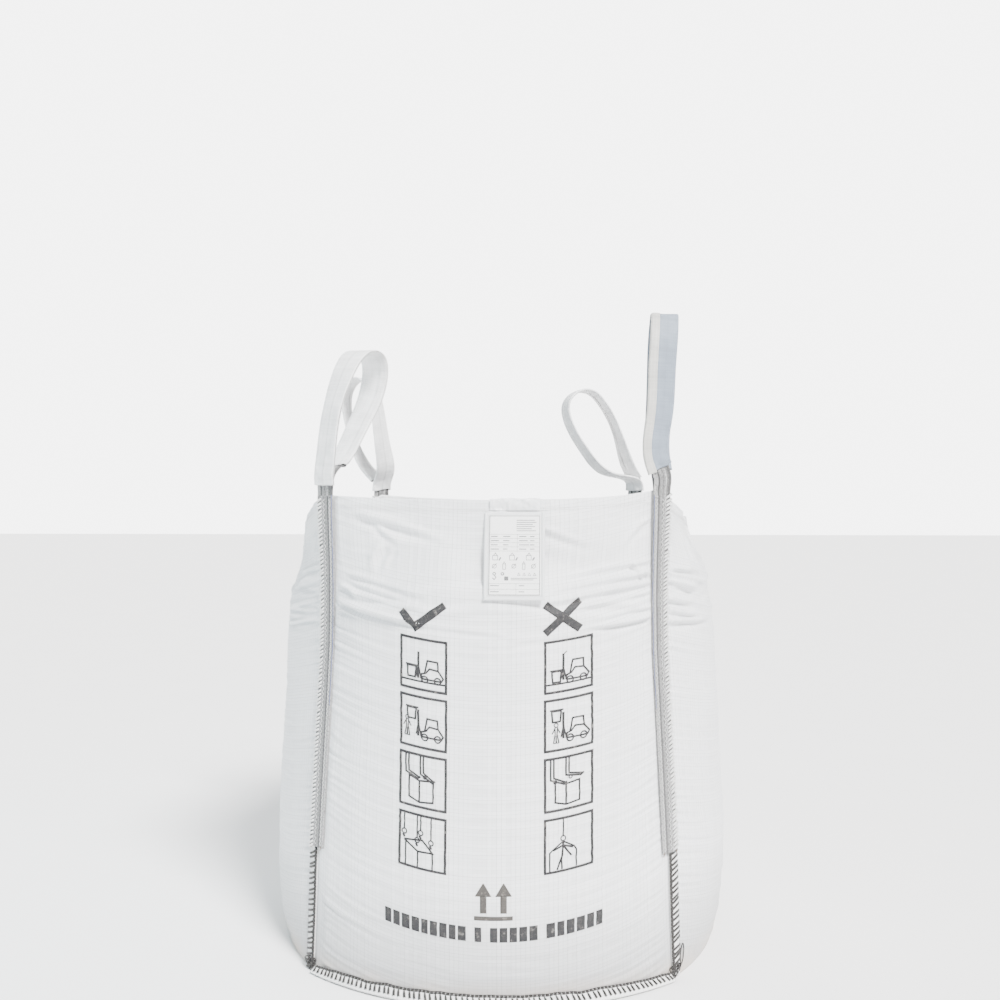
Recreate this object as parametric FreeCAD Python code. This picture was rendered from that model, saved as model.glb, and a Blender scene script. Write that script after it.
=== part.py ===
import FreeCAD, Part
import math
import os

# Four-loop bulk bag (FIBC) standing open in the shape it takes when it is filled.
# Millimetres, +Z up. The origin is the middle of the base on the floor, and the front panel faces -Y.
# Woven panels are closed at the four corners by seams, whose allowance is folded onto the side panels.
# Each corner's strap is one length of webbing: its two sewn legs lie one on the other over the seam, and
# the free loop between them swings about the line where the legs leave the rim.

# Driving dimensions
FABRIC = 1.5
WEBBING_WIDTH = 50.0
WEBBING_THICK = 2.5
LEG_BOTTOM = 290.0
LEG_TOP = 1116.0
RIM_CORNER = 1114.0
RIM_FRONT_MIDDLE = 1100.0
RIM_SIDE_MIDDLE = 1055.0
HINGE_HEIGHT = 1124.0
HINGE_RISE = 2.0
SEAM_ALLOWANCE = 27.0
SEAM_THICK = 2.6
SEAM_LIFT = 0.7
SEAM_BOTTOM = 26.0
SEAM_DEPTH = (SEAM_LIFT, SEAM_LIFT + SEAM_THICK)
THREAD = 1.6
THREAD_GAP = 0.3
HEM_STITCH_DROP = 20.0
HEM_STITCH_END = 358.0
HEM_BAND_BOTTOM = 1000.0
NEEDLE_ROW = (1.0, 5.0)
STRAP_STITCH_ROWS = (-18.0, 4.0)
STRAP_STITCH_BOTTOM = 298.0
STRAP_STITCH_TOP = 1104.0
BOTTOM_FLANGE_LIFT = 0.8
BOTTOM_FLANGE_OUT = 22.0
BOTTOM_THREAD_OUT = 23.5
CORNER_SHARE = 0.7
FLANGE_GAP = 0.5
CUT_HEIGHT = 300.0
CUT_DEPTH = 800.0
CUT_REACH = 1.1
SLEEVE_WIDTH = 66.0
SLEEVE_THICK = 8.0
SLEEVE_WALL = 1.4
SLEEVE_START = 48.0
LAYER_GAP = 0.3
LOOP_STEPS = 32
ROOT_RISE = 22.0
ROOT_SPREAD = 2.5
POUCH_WIDTH = 134.0
POUCH_HEIGHT = 200.0
POUCH_THICK = 2.6
POUCH_CENTRE_X = 57.5
POUCH_TOP = 1074.0
POUCH_SLOPE = 15.5
POUCH_HINGE_GAP = 2.0
POUCH_STAND_OFF = 2.4
POUCH_WELD = 8.0
LABEL_WIDTH = 114.0
LABEL_HEIGHT = 182.0
LABEL_THICK = 0.8
LABEL_DROP = 9.0
HEADER_WIDTH = 112.0
HEADER_HEIGHT = 27.0
HEADER_THICK = 1.2
FILM = 0.5

# Horizontal sections of the bag: height, half the side of the square through the corner seams, and the
# distance from the middle of the bag to the middle of a bulging panel.
SECTIONS = (
    (FABRIC, 414.0, 560.0),
    (SEAM_BOTTOM, 413.0, 568.0),
    (70.0, 411.5, 580.0),
    (160.0, 409.0, 589.0),
    (LEG_BOTTOM, 406.0, 590.0),
    (430.0, 400.0, 584.0),
    (600.0, 392.0, 575.0),
    (760.0, 385.0, 566.0),
    (860.0, 384.0, 556.0),
    (905.0, 384.0, 546.0),
    (970.0, 385.5, 522.0),
    (1040.0, 388.0, 504.0),
    (RIM_CORNER, 390.0, 492.0),
    (1125.0, 390.0, 491.0),
)
SECTION_Z, CORNER, MIDDLE = 0, 1, 2
PANEL_TOP = SECTIONS[-1][SECTION_Z]

# Angle of the strap and seam allowance from the front panel's plane, seen from above.
STRAP_ANGLE = 42.0
STRAP_ANGLE_TOP = 35.0
STRAP_TURN_START = 905.0

CORNERS = {
    "front_left": (-1, -1),
    "front_right": (1, -1),
    "rear_right": (1, 1),
    "rear_left": (-1, 1),
}
SIDE_TURNS = {"front": 0, "right": 90, "rear": 180, "left": 270}

# The middle line of each free loop, from the outer leg over the top and down to the inner leg, and the
# angle of the webbing's width from +X at the root, on the way up, at the top and on the way down.
LOOPS = {
    "front_left": {
        "line": ((-394, -398, 1178), (-378, -398, 1305), (-356, -372, 1398), (-328, -318, 1458),
                 (-304, -260, 1450), (-310, -230, 1378), (-343, -264, 1280), (-376, -336, 1190)),
        "turns": (-35, -38, 0, -20),
    },
    "front_right": {
        "line": ((382, -408, 1190), (385, -422, 1290), (391, -428, 1400), (397, -420, 1488),
                 (400, -391, 1528), (398, -361, 1492), (395, -349, 1400), (391, -352, 1300),
                 (386, -370, 1205)),
        "turns": (35, 14, 8, 14),
    },
    "rear_right": {
        "line": ((378, 390, 1192), (338, 385, 1308), (290, 369, 1398), (256, 357, 1429),
                 (212, 341, 1427), (182, 329, 1393), (188, 323, 1335), (238, 333, 1247), (316, 362, 1178)),
        "turns": (-35, -72, -72, -66),
    },
    "rear_left": {
        "line": ((-430, 418, 1185), (-480, 442, 1262), (-511, 452, 1370), (-508, 442, 1446),
                 (-473, 410, 1478), (-430, 374, 1462), (-398, 348, 1380), (-380, 350, 1255),
                 (-378, 372, 1185)),
        "turns": (35, 80, 70, 58),
    },
}


def vec(x, y, z):
    return FreeCAD.Vector(x, y, z)


def between(z, column):
    # Section value at a height, on the straight line between the two stations around it.
    for low, high in zip(SECTIONS, SECTIONS[1:]):
        if low[SECTION_Z] <= z <= high[SECTION_Z]:
            share = (z - low[SECTION_Z]) / (high[SECTION_Z] - low[SECTION_Z])
            return low[column] + share * (high[column] - low[column])
    raise ValueError("height outside the bag")


def heights_between(bottom, top):
    inside = [s[SECTION_Z] for s in SECTIONS if bottom < s[SECTION_Z] < top]
    return [bottom] + inside + [top]


def panel_section(z, corner, middle, inset):
    # A four-sided strip along the front: outer arc, mitre, inner arc, mitre.
    inner_corner = corner - inset
    inner_middle = middle - inset
    outer = Part.Arc(vec(-corner, -corner, z), vec(0, -middle, z), vec(corner, -corner, z))
    inner = Part.Arc(vec(inner_corner, -inner_corner, z), vec(0, -inner_middle, z),
                     vec(-inner_corner, -inner_corner, z))
    right = Part.LineSegment(vec(corner, -corner, z), vec(inner_corner, -inner_corner, z))
    left = Part.LineSegment(vec(-inner_corner, -inner_corner, z), vec(-corner, -corner, z))
    return Part.Wire([outer.toShape(), right.toShape(), inner.toShape(), left.toShape()])


def turned(shape, degrees):
    copy = shape.copy()
    copy.rotate(vec(0, 0, 0), vec(0, 0, 1), degrees)
    return copy


def shell_strip(bottom, top, outset, thick):
    # The front's curved wall between two heights, moved outward by outset.
    wires = []
    for z in heights_between(bottom, top):
        wires.append(panel_section(z, between(z, CORNER) + outset, between(z, MIDDLE) + outset, thick))
    return Part.makeLoft(wires, True, True)


def rim_prism(middle_z, drop):
    # The space above a line that runs along the rim, drop below it, for the front panel.
    wide = CUT_REACH * between(RIM_CORNER, CORNER)
    low = middle_z - drop
    end = low + (RIM_CORNER - middle_z) * CUT_REACH ** 2
    high = low + CUT_HEIGHT
    arc = Part.Arc(vec(-wide, 0, end), vec(0, 0, low), vec(wide, 0, end))
    right = Part.LineSegment(vec(wide, 0, end), vec(wide, 0, high))
    top = Part.LineSegment(vec(wide, 0, high), vec(-wide, 0, high))
    left = Part.LineSegment(vec(-wide, 0, high), vec(-wide, 0, end))
    face = Part.Face(Part.Wire([arc.toShape(), right.toShape(), top.toShape(), left.toShape()]))
    return face.extrude(vec(0, -CUT_DEPTH, 0))


def rim_stitching(middle_z):
    # Thin ridge of stitching along the hem, just proud of the fabric, ending short of the corner seams.
    wall = shell_strip(HEM_BAND_BOTTOM, PANEL_TOP, THREAD_GAP + THREAD / 2, THREAD / 2)
    upper = rim_prism(middle_z, HEM_STITCH_DROP)
    lower = rim_prism(middle_z, HEM_STITCH_DROP + THREAD)
    between_seams = Part.makeBox(2 * HEM_STITCH_END, CUT_DEPTH, CUT_HEIGHT,
                                 vec(-HEM_STITCH_END, -CUT_DEPTH, HEM_BAND_BOTTOM))
    return wall.common(lower).cut(upper).common(between_seams)


def panel(middle_z):
    wall = shell_strip(FABRIC, PANEL_TOP, 0, FABRIC)
    return wall.cut(rim_prism(middle_z, 0))


def base_plate():
    corner, middle = SECTIONS[0][CORNER], SECTIONS[0][MIDDLE]
    arcs = []
    for degrees in SIDE_TURNS.values():
        arc = Part.Arc(vec(-corner, -corner, 0), vec(0, -middle, 0), vec(corner, -corner, 0)).toShape()
        arcs.append(turned(arc, degrees))
    return Part.Face(Part.Wire(arcs)).extrude(vec(0, 0, FABRIC))


def u_panel():
    # One length of fabric: left side, base and right side.
    side = panel(RIM_SIDE_MIDDLE)
    whole = base_plate().fuse(turned(side, SIDE_TURNS["right"])).fuse(turned(side, SIDE_TURNS["left"]))
    return whole.removeSplitter()


def strap_angle(z):
    if z <= STRAP_TURN_START:
        return math.radians(STRAP_ANGLE)
    share = (z - STRAP_TURN_START) / (LEG_TOP - STRAP_TURN_START)
    return math.radians(STRAP_ANGLE + share * (STRAP_ANGLE_TOP - STRAP_ANGLE))


def corner_axes(z):
    # At the front right corner: the seam line, the direction along the strap's width, and outward.
    angle = strap_angle(z)
    corner = between(z, CORNER)
    along = vec(math.cos(angle), math.sin(angle), 0)
    out = vec(math.sin(angle), -math.cos(angle), 0)
    return vec(corner, -corner, z), along, out


def corner_bar(bottom, top, across, depth):
    # An upright bar at the front right corner: across is its span along the strap's width, depth outward.
    wires = []
    for z in heights_between(bottom, top):
        root, along, out = corner_axes(z)
        points = [root + along * a + out * d
                  for a, d in ((across[0], depth[0]), (across[1], depth[0]), (across[1], depth[1]),
                               (across[0], depth[1]))]
        wires.append(Part.makePolygon(points + [points[0]]))
    return Part.makeLoft(wires, True, True)


def at_corner(shape, corner):
    # Front right geometry, mirrored to another corner.
    sign_x, sign_y = CORNERS[corner]
    result = shape
    if sign_x < 0:
        result = result.mirror(vec(0, 0, 0), vec(1, 0, 0))
    if sign_y > 0:
        result = result.mirror(vec(0, 0, 0), vec(0, 1, 0))
    return result


def layer_depth(index):
    # Outward span of a strap layer: 0 is the leg on the seam, 1 the leg on top of it.
    start = SEAM_LIFT + SEAM_THICK + LAYER_GAP + index * (WEBBING_THICK + LAYER_GAP)
    return start, start + WEBBING_THICK


def seam_allowance():
    # The walls bulge a little past the corner on both sides, so the allowance stands SEAM_LIFT out from it.
    return corner_bar(SEAM_BOTTOM, RIM_CORNER - THREAD / 2, (0, SEAM_ALLOWANCE), SEAM_DEPTH)


def strap_leg(index):
    half = WEBBING_WIDTH / 2
    return corner_bar(LEG_BOTTOM, LEG_TOP, (-half, half), layer_depth(index))


def seam_thread(bottom, top):
    # Overlocked edge of the seam allowance.
    start = SEAM_ALLOWANCE + THREAD_GAP
    return corner_bar(bottom, top, (start, start + THREAD), SEAM_DEPTH)


def needle_thread():
    # The row of needle stitches that closes the seam, below the strap.
    start = SEAM_LIFT + SEAM_THICK + THREAD_GAP
    return corner_bar(SEAM_BOTTOM + THREAD, LEG_BOTTOM - 2 * THREAD, NEEDLE_ROW, (start, start + THREAD))


def strap_stitching():
    # Two rows of stitches through both legs of the strap.
    start = layer_depth(1)[1] + THREAD_GAP
    depth = (start, start + THREAD / 2)
    rows = [corner_bar(STRAP_STITCH_BOTTOM, STRAP_STITCH_TOP, (across, across + THREAD), depth)
            for across in STRAP_STITCH_ROWS]
    return Part.makeCompound(rows)


def bottom_seam():
    # The allowance of the seam round the base, hanging from the wall to the floor.
    corner, middle = SECTIONS[0][CORNER], SECTIONS[0][MIDDLE]
    low = panel_section(BOTTOM_FLANGE_LIFT, corner + BOTTOM_FLANGE_OUT * CORNER_SHARE,
                        middle + BOTTOM_FLANGE_OUT, SEAM_THICK)
    top_z = SEAM_BOTTOM - 2
    stand_off = SEAM_THICK + FLANGE_GAP
    high = panel_section(top_z, between(top_z, CORNER) + stand_off, between(top_z, MIDDLE) + stand_off,
                         SEAM_THICK)
    return Part.makeLoft([low, high], True, True)


def bottom_thread():
    # The overlocked lower edge of that allowance.
    corner = SECTIONS[0][CORNER] + BOTTOM_THREAD_OUT * CORNER_SHARE + THREAD
    middle = SECTIONS[0][MIDDLE] + BOTTOM_THREAD_OUT
    heights = (BOTTOM_FLANGE_LIFT, BOTTOM_FLANGE_LIFT + THREAD)
    return Part.makeLoft([panel_section(z, corner, middle, THREAD) for z in heights], True, True)


def loop_root(corner, index):
    # Where a leg leaves the rim, and a point straight above it with the legs starting to part.
    sign_x, sign_y = CORNERS[corner]
    root, along, out = corner_axes(LEG_TOP)
    out = vec(sign_x * out.x, -sign_y * out.y, 0)
    depth = sum(layer_depth(index)) / 2
    point = vec(sign_x * root.x, -sign_y * root.y, HINGE_HEIGHT + HINGE_RISE) + out * depth
    spread = ROOT_SPREAD if index else -ROOT_SPREAD
    return point, point + out * spread + vec(0, 0, ROOT_RISE)


def loop_frames(corner):
    # Evenly spaced stations along the loop: point, width direction and normal.
    data = LOOPS[corner]
    outer, inner = loop_root(corner, 1), loop_root(corner, 0)
    points = list(outer) + [vec(*p) for p in data["line"]] + [inner[1], inner[0]]
    curve = Part.BSplineCurve()
    curve.interpolate(points)
    edge = curve.toShape()
    turns = data["turns"]
    stops = (0.0, 0.25, 0.5, 0.75, 1.0)
    angles = (turns[0], turns[1], turns[2], turns[3], turns[0])
    frames = []
    for i in range(LOOP_STEPS + 1):
        share = i / LOOP_STEPS
        at = edge.getParameterByLength(share * edge.Length)
        tangent = edge.tangentAt(at)
        for k in range(4):
            if stops[k] <= share <= stops[k + 1]:
                part = (share - stops[k]) / (stops[k + 1] - stops[k])
                ease = part * part * (3 - 2 * part)
                turn = math.radians(angles[k] + ease * (angles[k + 1] - angles[k]))
        wide = vec(math.cos(turn), math.sin(turn), 0)
        wide = wide - tangent * wide.dot(tangent)
        wide.normalize()
        frames.append((edge.valueAt(at), wide, tangent.cross(wide)))
    return frames, edge.Length


def band(frames, width, thick):
    # A flat band with ruled faces from each station to the next.
    rings = []
    for point, wide, normal in frames:
        a, b = wide * (width / 2), normal * (thick / 2)
        rings.append((point + a + b, point - a + b, point - a - b, point + a - b))
    faces = [Part.Face(Part.makePolygon(ring + ring[:1])) for ring in (rings[0], rings[-1])]
    for low, high in zip(rings, rings[1:]):
        for k in range(4):
            start = Part.makeLine(low[k - 1], low[k])
            end = Part.makeLine(high[k - 1], high[k])
            faces.append(Part.makeRuledSurface(start, end))
    shell = Part.makeShell(faces)
    shell.sewShape()
    solid = Part.makeSolid(shell)
    if solid.Volume < 0:
        solid.reverse()
    return solid


def loop_sleeve(frames, length):
    # A flat fabric tube round the loop, open at both ends.
    step = length / LOOP_STEPS
    first = math.ceil(SLEEVE_START / step)
    span = frames[first:len(frames) - first]
    bore = frames[first - 1:len(frames) - first + 1]
    outside = band(span, SLEEVE_WIDTH, SLEEVE_THICK)
    inside = band(bore, SLEEVE_WIDTH - 2 * SLEEVE_WALL, SLEEVE_THICK - 2 * SLEEVE_WALL)
    return outside.cut(inside)


def pouch_line_y():
    # The line the pouch hangs from, just clear of the front panel.
    return -(between(POUCH_TOP, MIDDLE) + POUCH_STAND_OFF)


def pouch_place(shape):
    # Flat pouch geometry, drawn hanging straight down from its top edge, laid on the panel's slope.
    placed = shape.copy()
    placed.rotate(vec(0, 0, 0), vec(-1, 0, 0), POUCH_SLOPE)
    placed.translate(vec(POUCH_CENTRE_X, pouch_line_y(), POUCH_TOP + POUCH_HINGE_GAP))
    return placed


def centred_box(width, thick, height, top):
    return Part.makeBox(width, thick, height, vec(-width / 2, -thick / 2, top - height))


def document_pouch():
    # Two sheets of clear film welded at the sides and bottom.
    body = centred_box(POUCH_WIDTH, POUCH_THICK, POUCH_HEIGHT, -POUCH_HINGE_GAP)
    room = centred_box(POUCH_WIDTH - POUCH_WELD, POUCH_THICK - 2 * FILM, POUCH_HEIGHT - POUCH_WELD, 0)
    return pouch_place(body.cut(room))


def document_label():
    return pouch_place(centred_box(LABEL_WIDTH, LABEL_THICK, LABEL_HEIGHT, -LABEL_DROP))


def pouch_header():
    # The strip of film that is sewn into the hem and that the pouch hangs from.
    corner = vec(POUCH_CENTRE_X - HEADER_WIDTH / 2, pouch_line_y() - HEADER_THICK / 2,
                 POUCH_TOP + POUCH_HINGE_GAP + 1)
    return Part.makeBox(HEADER_WIDTH, HEADER_THICK, HEADER_HEIGHT, corner)


def save(node, shape):
    shape.exportStep("parts/" + node + ".step")
    box = shape.BoundBox
    print(node, "valid", shape.isValid(), "solids", len(shape.Solids), "cm3", round(shape.Volume / 1000, 1),
          "z", round(box.ZMin, 1), round(box.ZMax, 1))


def build():
    os.makedirs("parts", exist_ok=True)
    front = panel(RIM_FRONT_MIDDLE)
    save("front_panel", front)
    save("rear_panel", turned(front, SIDE_TURNS["rear"]))
    save("u_panel", u_panel())
    for side, degrees in SIDE_TURNS.items():
        middle_z = RIM_FRONT_MIDDLE if side in ("front", "rear") else RIM_SIDE_MIDDLE
        save(side + "_hem_stitching", turned(rim_stitching(middle_z), degrees))
    for side in ("front", "rear"):
        save(side + "_bottom_seam", turned(bottom_seam(), SIDE_TURNS[side]))
        save(side + "_bottom_seam_thread", turned(bottom_thread(), SIDE_TURNS[side]))
    lower_edge = seam_thread(SEAM_BOTTOM + THREAD / 2, LEG_BOTTOM - THREAD)
    lower_thread = Part.makeCompound([lower_edge, needle_thread()])
    pieces = {
        "corner_seam": seam_allowance(),
        "lower_seam_thread": lower_thread,
        "upper_seam_thread": seam_thread(LEG_BOTTOM, RIM_CORNER - THREAD),
        "strap_inner_leg": strap_leg(0),
        "strap_outer_leg": strap_leg(1),
        "strap_stitching": strap_stitching(),
    }
    for corner in CORNERS:
        for name, shape in pieces.items():
            save(corner + "_" + name, at_corner(shape, corner))
        frames, length = loop_frames(corner)
        print(corner, "free webbing length", round(length))
        save(corner + "_loop_webbing", band(frames, WEBBING_WIDTH, WEBBING_THICK))
        save(corner + "_loop_sleeve", loop_sleeve(frames, length))
    save("document_pouch", document_pouch())
    save("document_label", document_label())
    save("pouch_header", pouch_header())


build()
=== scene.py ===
import math

import bmesh
import bpy
import numpy as np
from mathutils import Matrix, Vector

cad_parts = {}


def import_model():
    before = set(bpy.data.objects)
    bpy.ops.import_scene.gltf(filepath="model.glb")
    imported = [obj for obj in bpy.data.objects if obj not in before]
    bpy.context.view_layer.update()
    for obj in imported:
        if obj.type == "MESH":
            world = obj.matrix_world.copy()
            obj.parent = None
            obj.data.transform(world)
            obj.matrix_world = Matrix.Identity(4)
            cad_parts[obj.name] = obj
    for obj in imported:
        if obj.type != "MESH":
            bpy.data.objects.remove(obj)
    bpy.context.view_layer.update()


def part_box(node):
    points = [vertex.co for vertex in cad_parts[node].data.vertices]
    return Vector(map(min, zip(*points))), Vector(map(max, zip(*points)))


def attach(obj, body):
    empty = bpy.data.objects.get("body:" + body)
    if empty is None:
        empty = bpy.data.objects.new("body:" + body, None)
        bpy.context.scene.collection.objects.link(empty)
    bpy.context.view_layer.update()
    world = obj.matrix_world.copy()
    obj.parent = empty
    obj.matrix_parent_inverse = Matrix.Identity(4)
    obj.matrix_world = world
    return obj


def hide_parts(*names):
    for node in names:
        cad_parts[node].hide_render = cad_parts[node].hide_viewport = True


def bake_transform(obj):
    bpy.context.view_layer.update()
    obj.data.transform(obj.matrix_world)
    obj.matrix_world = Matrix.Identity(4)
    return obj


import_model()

# Four-loop bulk bag, in metres, in the frame of the CAD model: +Z up, printed front panel towards -Y.

# Horizontal sections of the bag, as in the CAD model: height, half the side of the square through the corner
# seams, and the distance from the middle of the bag to the middle of a bulging panel.
SECTIONS = (
    (0.0015, 0.414, 0.560),
    (0.026, 0.413, 0.568),
    (0.070, 0.4115, 0.580),
    (0.160, 0.409, 0.589),
    (0.290, 0.406, 0.590),
    (0.430, 0.400, 0.584),
    (0.600, 0.392, 0.575),
    (0.760, 0.385, 0.566),
    (0.860, 0.384, 0.556),
    (0.905, 0.384, 0.546),
    (0.970, 0.3855, 0.522),
    (1.040, 0.388, 0.504),
    (1.114, 0.390, 0.492),
    (1.140, 0.390, 0.490),
)
RIM_HALF = 0.390
PROFILE_STEP = 0.002
PROFILE_REACH = 8
HEIGHTS = np.arange(0.0, 1.1401, PROFILE_STEP)

CLOTH = 0.0012
COLUMNS = 170
ROWS = 290
HEM = 0.028
HEM_STITCH_DROP = 0.020
SHOULDER = 0.86
CLOTH_RISE = 0.42
PRINT_MIDDLE = 0.0145
SEAM_FOOT = 0.006
LEG_BOTTOM = 0.290
LEG_TOP = 1.112
SEAM_ALLOWANCE = 0.027
SEAM_THICK = 0.0026
SEAM_LIFT = 0.0007
LAYER_GAP = 0.0003
WEBBING_WIDTH = 0.050
WEBBING_THICK = 0.0025
SLEEVE_WIDTH = 0.066
SLEEVE_THICK = 0.0052
SLEEVE_FLAP = 0.021
SLEEVE_DIP = -0.0006
FLAP_STARTS = 0.1215
FOLD_STRENGTH = 2.1
STRAP_ANGLE = 42.0
STRAP_ANGLE_TOP = 35.0
STRAP_TURN_START = 0.905
POUCH_HINGE = (0.0575, -0.50085, 1.076)
POUCH_SLOPE = math.radians(15.5)

SIDES = {"front": 0, "right": 90, "rear": 180, "left": 270}
CORNERS = {
    "front_left": (-1, -1),
    "front_right": (1, -1),
    "rear_right": (1, 1),
    "rear_left": (-1, 1),
}

# The middle line of each free loop, from the outer leg over the top to the inner leg, and the angle of the
# webbing's width from +X at the root, on the way up, at the top and on the way down.
LOOPS = {
    "front_left": (((-0.394, -0.398, 1.178), (-0.378, -0.398, 1.305), (-0.356, -0.372, 1.398),
                    (-0.328, -0.318, 1.458), (-0.304, -0.260, 1.450), (-0.310, -0.230, 1.378),
                    (-0.343, -0.264, 1.280), (-0.376, -0.336, 1.190)), (-35, -38, 0, -20)),
    "front_right": (((0.382, -0.408, 1.190), (0.385, -0.422, 1.290), (0.391, -0.428, 1.400),
                     (0.397, -0.420, 1.488), (0.400, -0.391, 1.528), (0.398, -0.361, 1.492),
                     (0.395, -0.349, 1.400), (0.391, -0.352, 1.300), (0.386, -0.370, 1.205)),
                    (35, 14, 8, 14)),
    "rear_right": (((0.378, 0.390, 1.192), (0.338, 0.385, 1.308), (0.290, 0.369, 1.398),
                    (0.256, 0.357, 1.429), (0.212, 0.341, 1.427), (0.182, 0.329, 1.393),
                    (0.188, 0.323, 1.335), (0.238, 0.333, 1.247), (0.316, 0.362, 1.178)),
                   (-35, -72, -72, -66)),
    "rear_left": (((-0.430, 0.418, 1.185), (-0.480, 0.442, 1.262), (-0.511, 0.452, 1.370),
                   (-0.508, 0.442, 1.446), (-0.473, 0.410, 1.478), (-0.430, 0.374, 1.462),
                   (-0.398, 0.348, 1.380), (-0.380, 0.350, 1.255), (-0.378, 0.372, 1.185)),
                  (35, 80, 70, 58)),
}

# Folds of the slack cloth above the fill on the front panel: start x, z, end x, z, bow, half width, height.
FRONT_CREASES = (
    (-0.3195, 1.072, -0.0845, 1.008, 0.004, 0.0080, 0.0042),
    (-0.2715, 1.052, -0.1995, 1.004, -0.004, 0.0070, 0.0032),
    (-0.2495, 1.000, -0.2775, 0.936, 0.006, 0.0090, 0.0036),
    (-0.2245, 0.990, -0.2445, 0.940, 0.004, 0.0060, 0.0024),
    (-0.3545, 0.902, -0.2995, 0.874, 0.005, 0.0045, 0.0048),
    (-0.3595, 0.866, -0.0995, 0.822, -0.004, 0.0055, 0.0056),
    (-0.3545, 0.846, -0.3015, 0.832, 0.003, 0.0040, 0.0034),
    (-0.3395, 0.932, -0.1295, 0.884, 0.003, 0.0060, 0.0026),
    (-0.3395, 0.914, -0.1495, 0.866, 0.002, 0.0050, 0.0024),
    (-0.3295, 0.888, -0.0895, 0.850, 0.000, 0.0060, 0.0022),
    (-0.1195, 0.822, 0.0705, 0.802, 0.002, 0.0050, 0.0016),
    (0.1055, 1.042, 0.2255, 1.002, -0.003, 0.0070, 0.0030),
    (0.3805, 0.962, 0.1405, 0.926, 0.004, 0.0060, 0.0024),
    (0.3805, 0.934, 0.1105, 0.896, 0.004, 0.0060, 0.0036),
    (0.3805, 0.914, 0.1005, 0.868, 0.003, 0.0060, 0.0044),
    (0.3805, 0.892, 0.1505, 0.852, 0.002, 0.0050, 0.0030),
    (0.3825, 0.836, 0.2055, 0.820, -0.004, 0.0050, 0.0054),
    (0.3755, 0.856, 0.2405, 0.836, 0.002, 0.0045, 0.0030),
    (0.3125, 0.958, 0.3565, 0.908, 0.003, 0.0035, 0.0036),
    (0.3405, 0.944, 0.3665, 0.916, 0.002, 0.0030, 0.0030),
    (0.3625, 1.060, 0.2905, 0.985, 0.006, 0.0070, 0.0026),
    (0.0505, 0.792, 0.2505, 0.806, 0.002, 0.0050, 0.0014),
)


# ---------------------------------------------------------------- small helpers

def smooth_column(index):
    raw = np.interp(HEIGHTS, [s[0] for s in SECTIONS], [s[index] for s in SECTIONS])
    kernel = np.hanning(2 * PROFILE_REACH + 1)
    padded = np.pad(raw, PROFILE_REACH, mode="reflect", reflect_type="odd")
    return np.convolve(padded, kernel / kernel.sum(), "valid")


CORNER_COLUMN = smooth_column(1)
MIDDLE_COLUMN = smooth_column(2)


def corner_at(z):
    return np.interp(z, HEIGHTS, CORNER_COLUMN)


def middle_at(z):
    return np.interp(z, HEIGHTS, MIDDLE_COLUMN)


def step(low, high, value):
    share = np.clip((value - low) / (high - low), 0.0, 1.0)
    return share * share * (3 - 2 * share)


def bell(value, centre, width):
    return np.exp(-((value - centre) / width) ** 2)


def drift(x, z, wide, tall, seed):
    """Smooth random field from -1 to 1, with features about wide by tall."""
    table = np.random.default_rng(seed).uniform(-1, 1, (64, 64))
    u, v = np.asarray(x) / wide + 31.7, np.asarray(z) / tall + 17.3
    i, j = np.floor(u).astype(int), np.floor(v).astype(int)
    a, b = u - i, v - j
    a, b = a * a * (3 - 2 * a), b * b * (3 - 2 * b)
    low = table[i % 64, j % 64] * (1 - a) + table[(i + 1) % 64, j % 64] * a
    high = table[i % 64, (j + 1) % 64] * (1 - a) + table[(i + 1) % 64, (j + 1) % 64] * a
    return low * (1 - b) + high * b


def about_z(points, degrees):
    turn = math.radians(degrees)
    x, y = points[..., 0], points[..., 1]
    return np.stack((x * math.cos(turn) - y * math.sin(turn), x * math.sin(turn) + y * math.cos(turn),
                     points[..., 2]), axis=-1)


def unit(vectors):
    return vectors / np.linalg.norm(vectors, axis=-1, keepdims=True)


def add_mesh(name, points, faces, uvs=None, material=None):
    mesh = bpy.data.meshes.new(name)
    corners = np.asarray(points, float).reshape(-1, 3).tolist()
    mesh.from_pydata(corners, [], [list(map(int, f)) for f in faces])
    mesh.validate()
    if uvs is not None:
        layer = mesh.uv_layers.new(name="cloth")
        index = np.zeros(len(mesh.loops), int)
        mesh.loops.foreach_get("vertex_index", index)
        layer.data.foreach_set("uv", np.asarray(uvs, np.float32).reshape(-1, 2)[index].ravel())
    mesh.polygons.foreach_set("use_smooth", [True] * len(mesh.polygons))
    obj = bpy.data.objects.new(name, mesh)
    bpy.context.scene.collection.objects.link(obj)
    if material is not None:
        mesh.materials.append(material)
    return obj


def grid_faces(rows, cols, wrap=False):
    across = np.arange(cols if wrap else cols - 1)
    r, c = np.meshgrid(np.arange(rows - 1), across, indexing="ij")
    n = (c + 1) % cols
    quads = np.stack((r * cols + c, r * cols + n, (r + 1) * cols + n, (r + 1) * cols + c), axis=-1)
    return quads.reshape(-1, 4).tolist()


def sweep(name, rings, us, vs, material, capped=True):
    """Closed tube through rings of points, with its ends filled."""
    rows, cols = rings.shape[:2]
    faces = grid_faces(rows, cols, wrap=True)
    if capped:
        faces.append(list(range(cols))[::-1])
        faces.append([(rows - 1) * cols + k for k in range(cols)])
    uvs = np.stack(np.broadcast_arrays(np.asarray(us)[None, :], np.asarray(vs)[:, None]), axis=-1)
    obj = add_mesh(name, rings, faces, uvs, material)
    for face in obj.data.polygons[-2:] if capped else ():
        face.use_smooth = False
    return obj


def thicken(obj, thickness, offset=-1.0):
    modifier = obj.modifiers.new("thickness", "SOLIDIFY")
    modifier.thickness = thickness
    modifier.offset = offset
    return apply_modifiers(obj)


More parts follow.
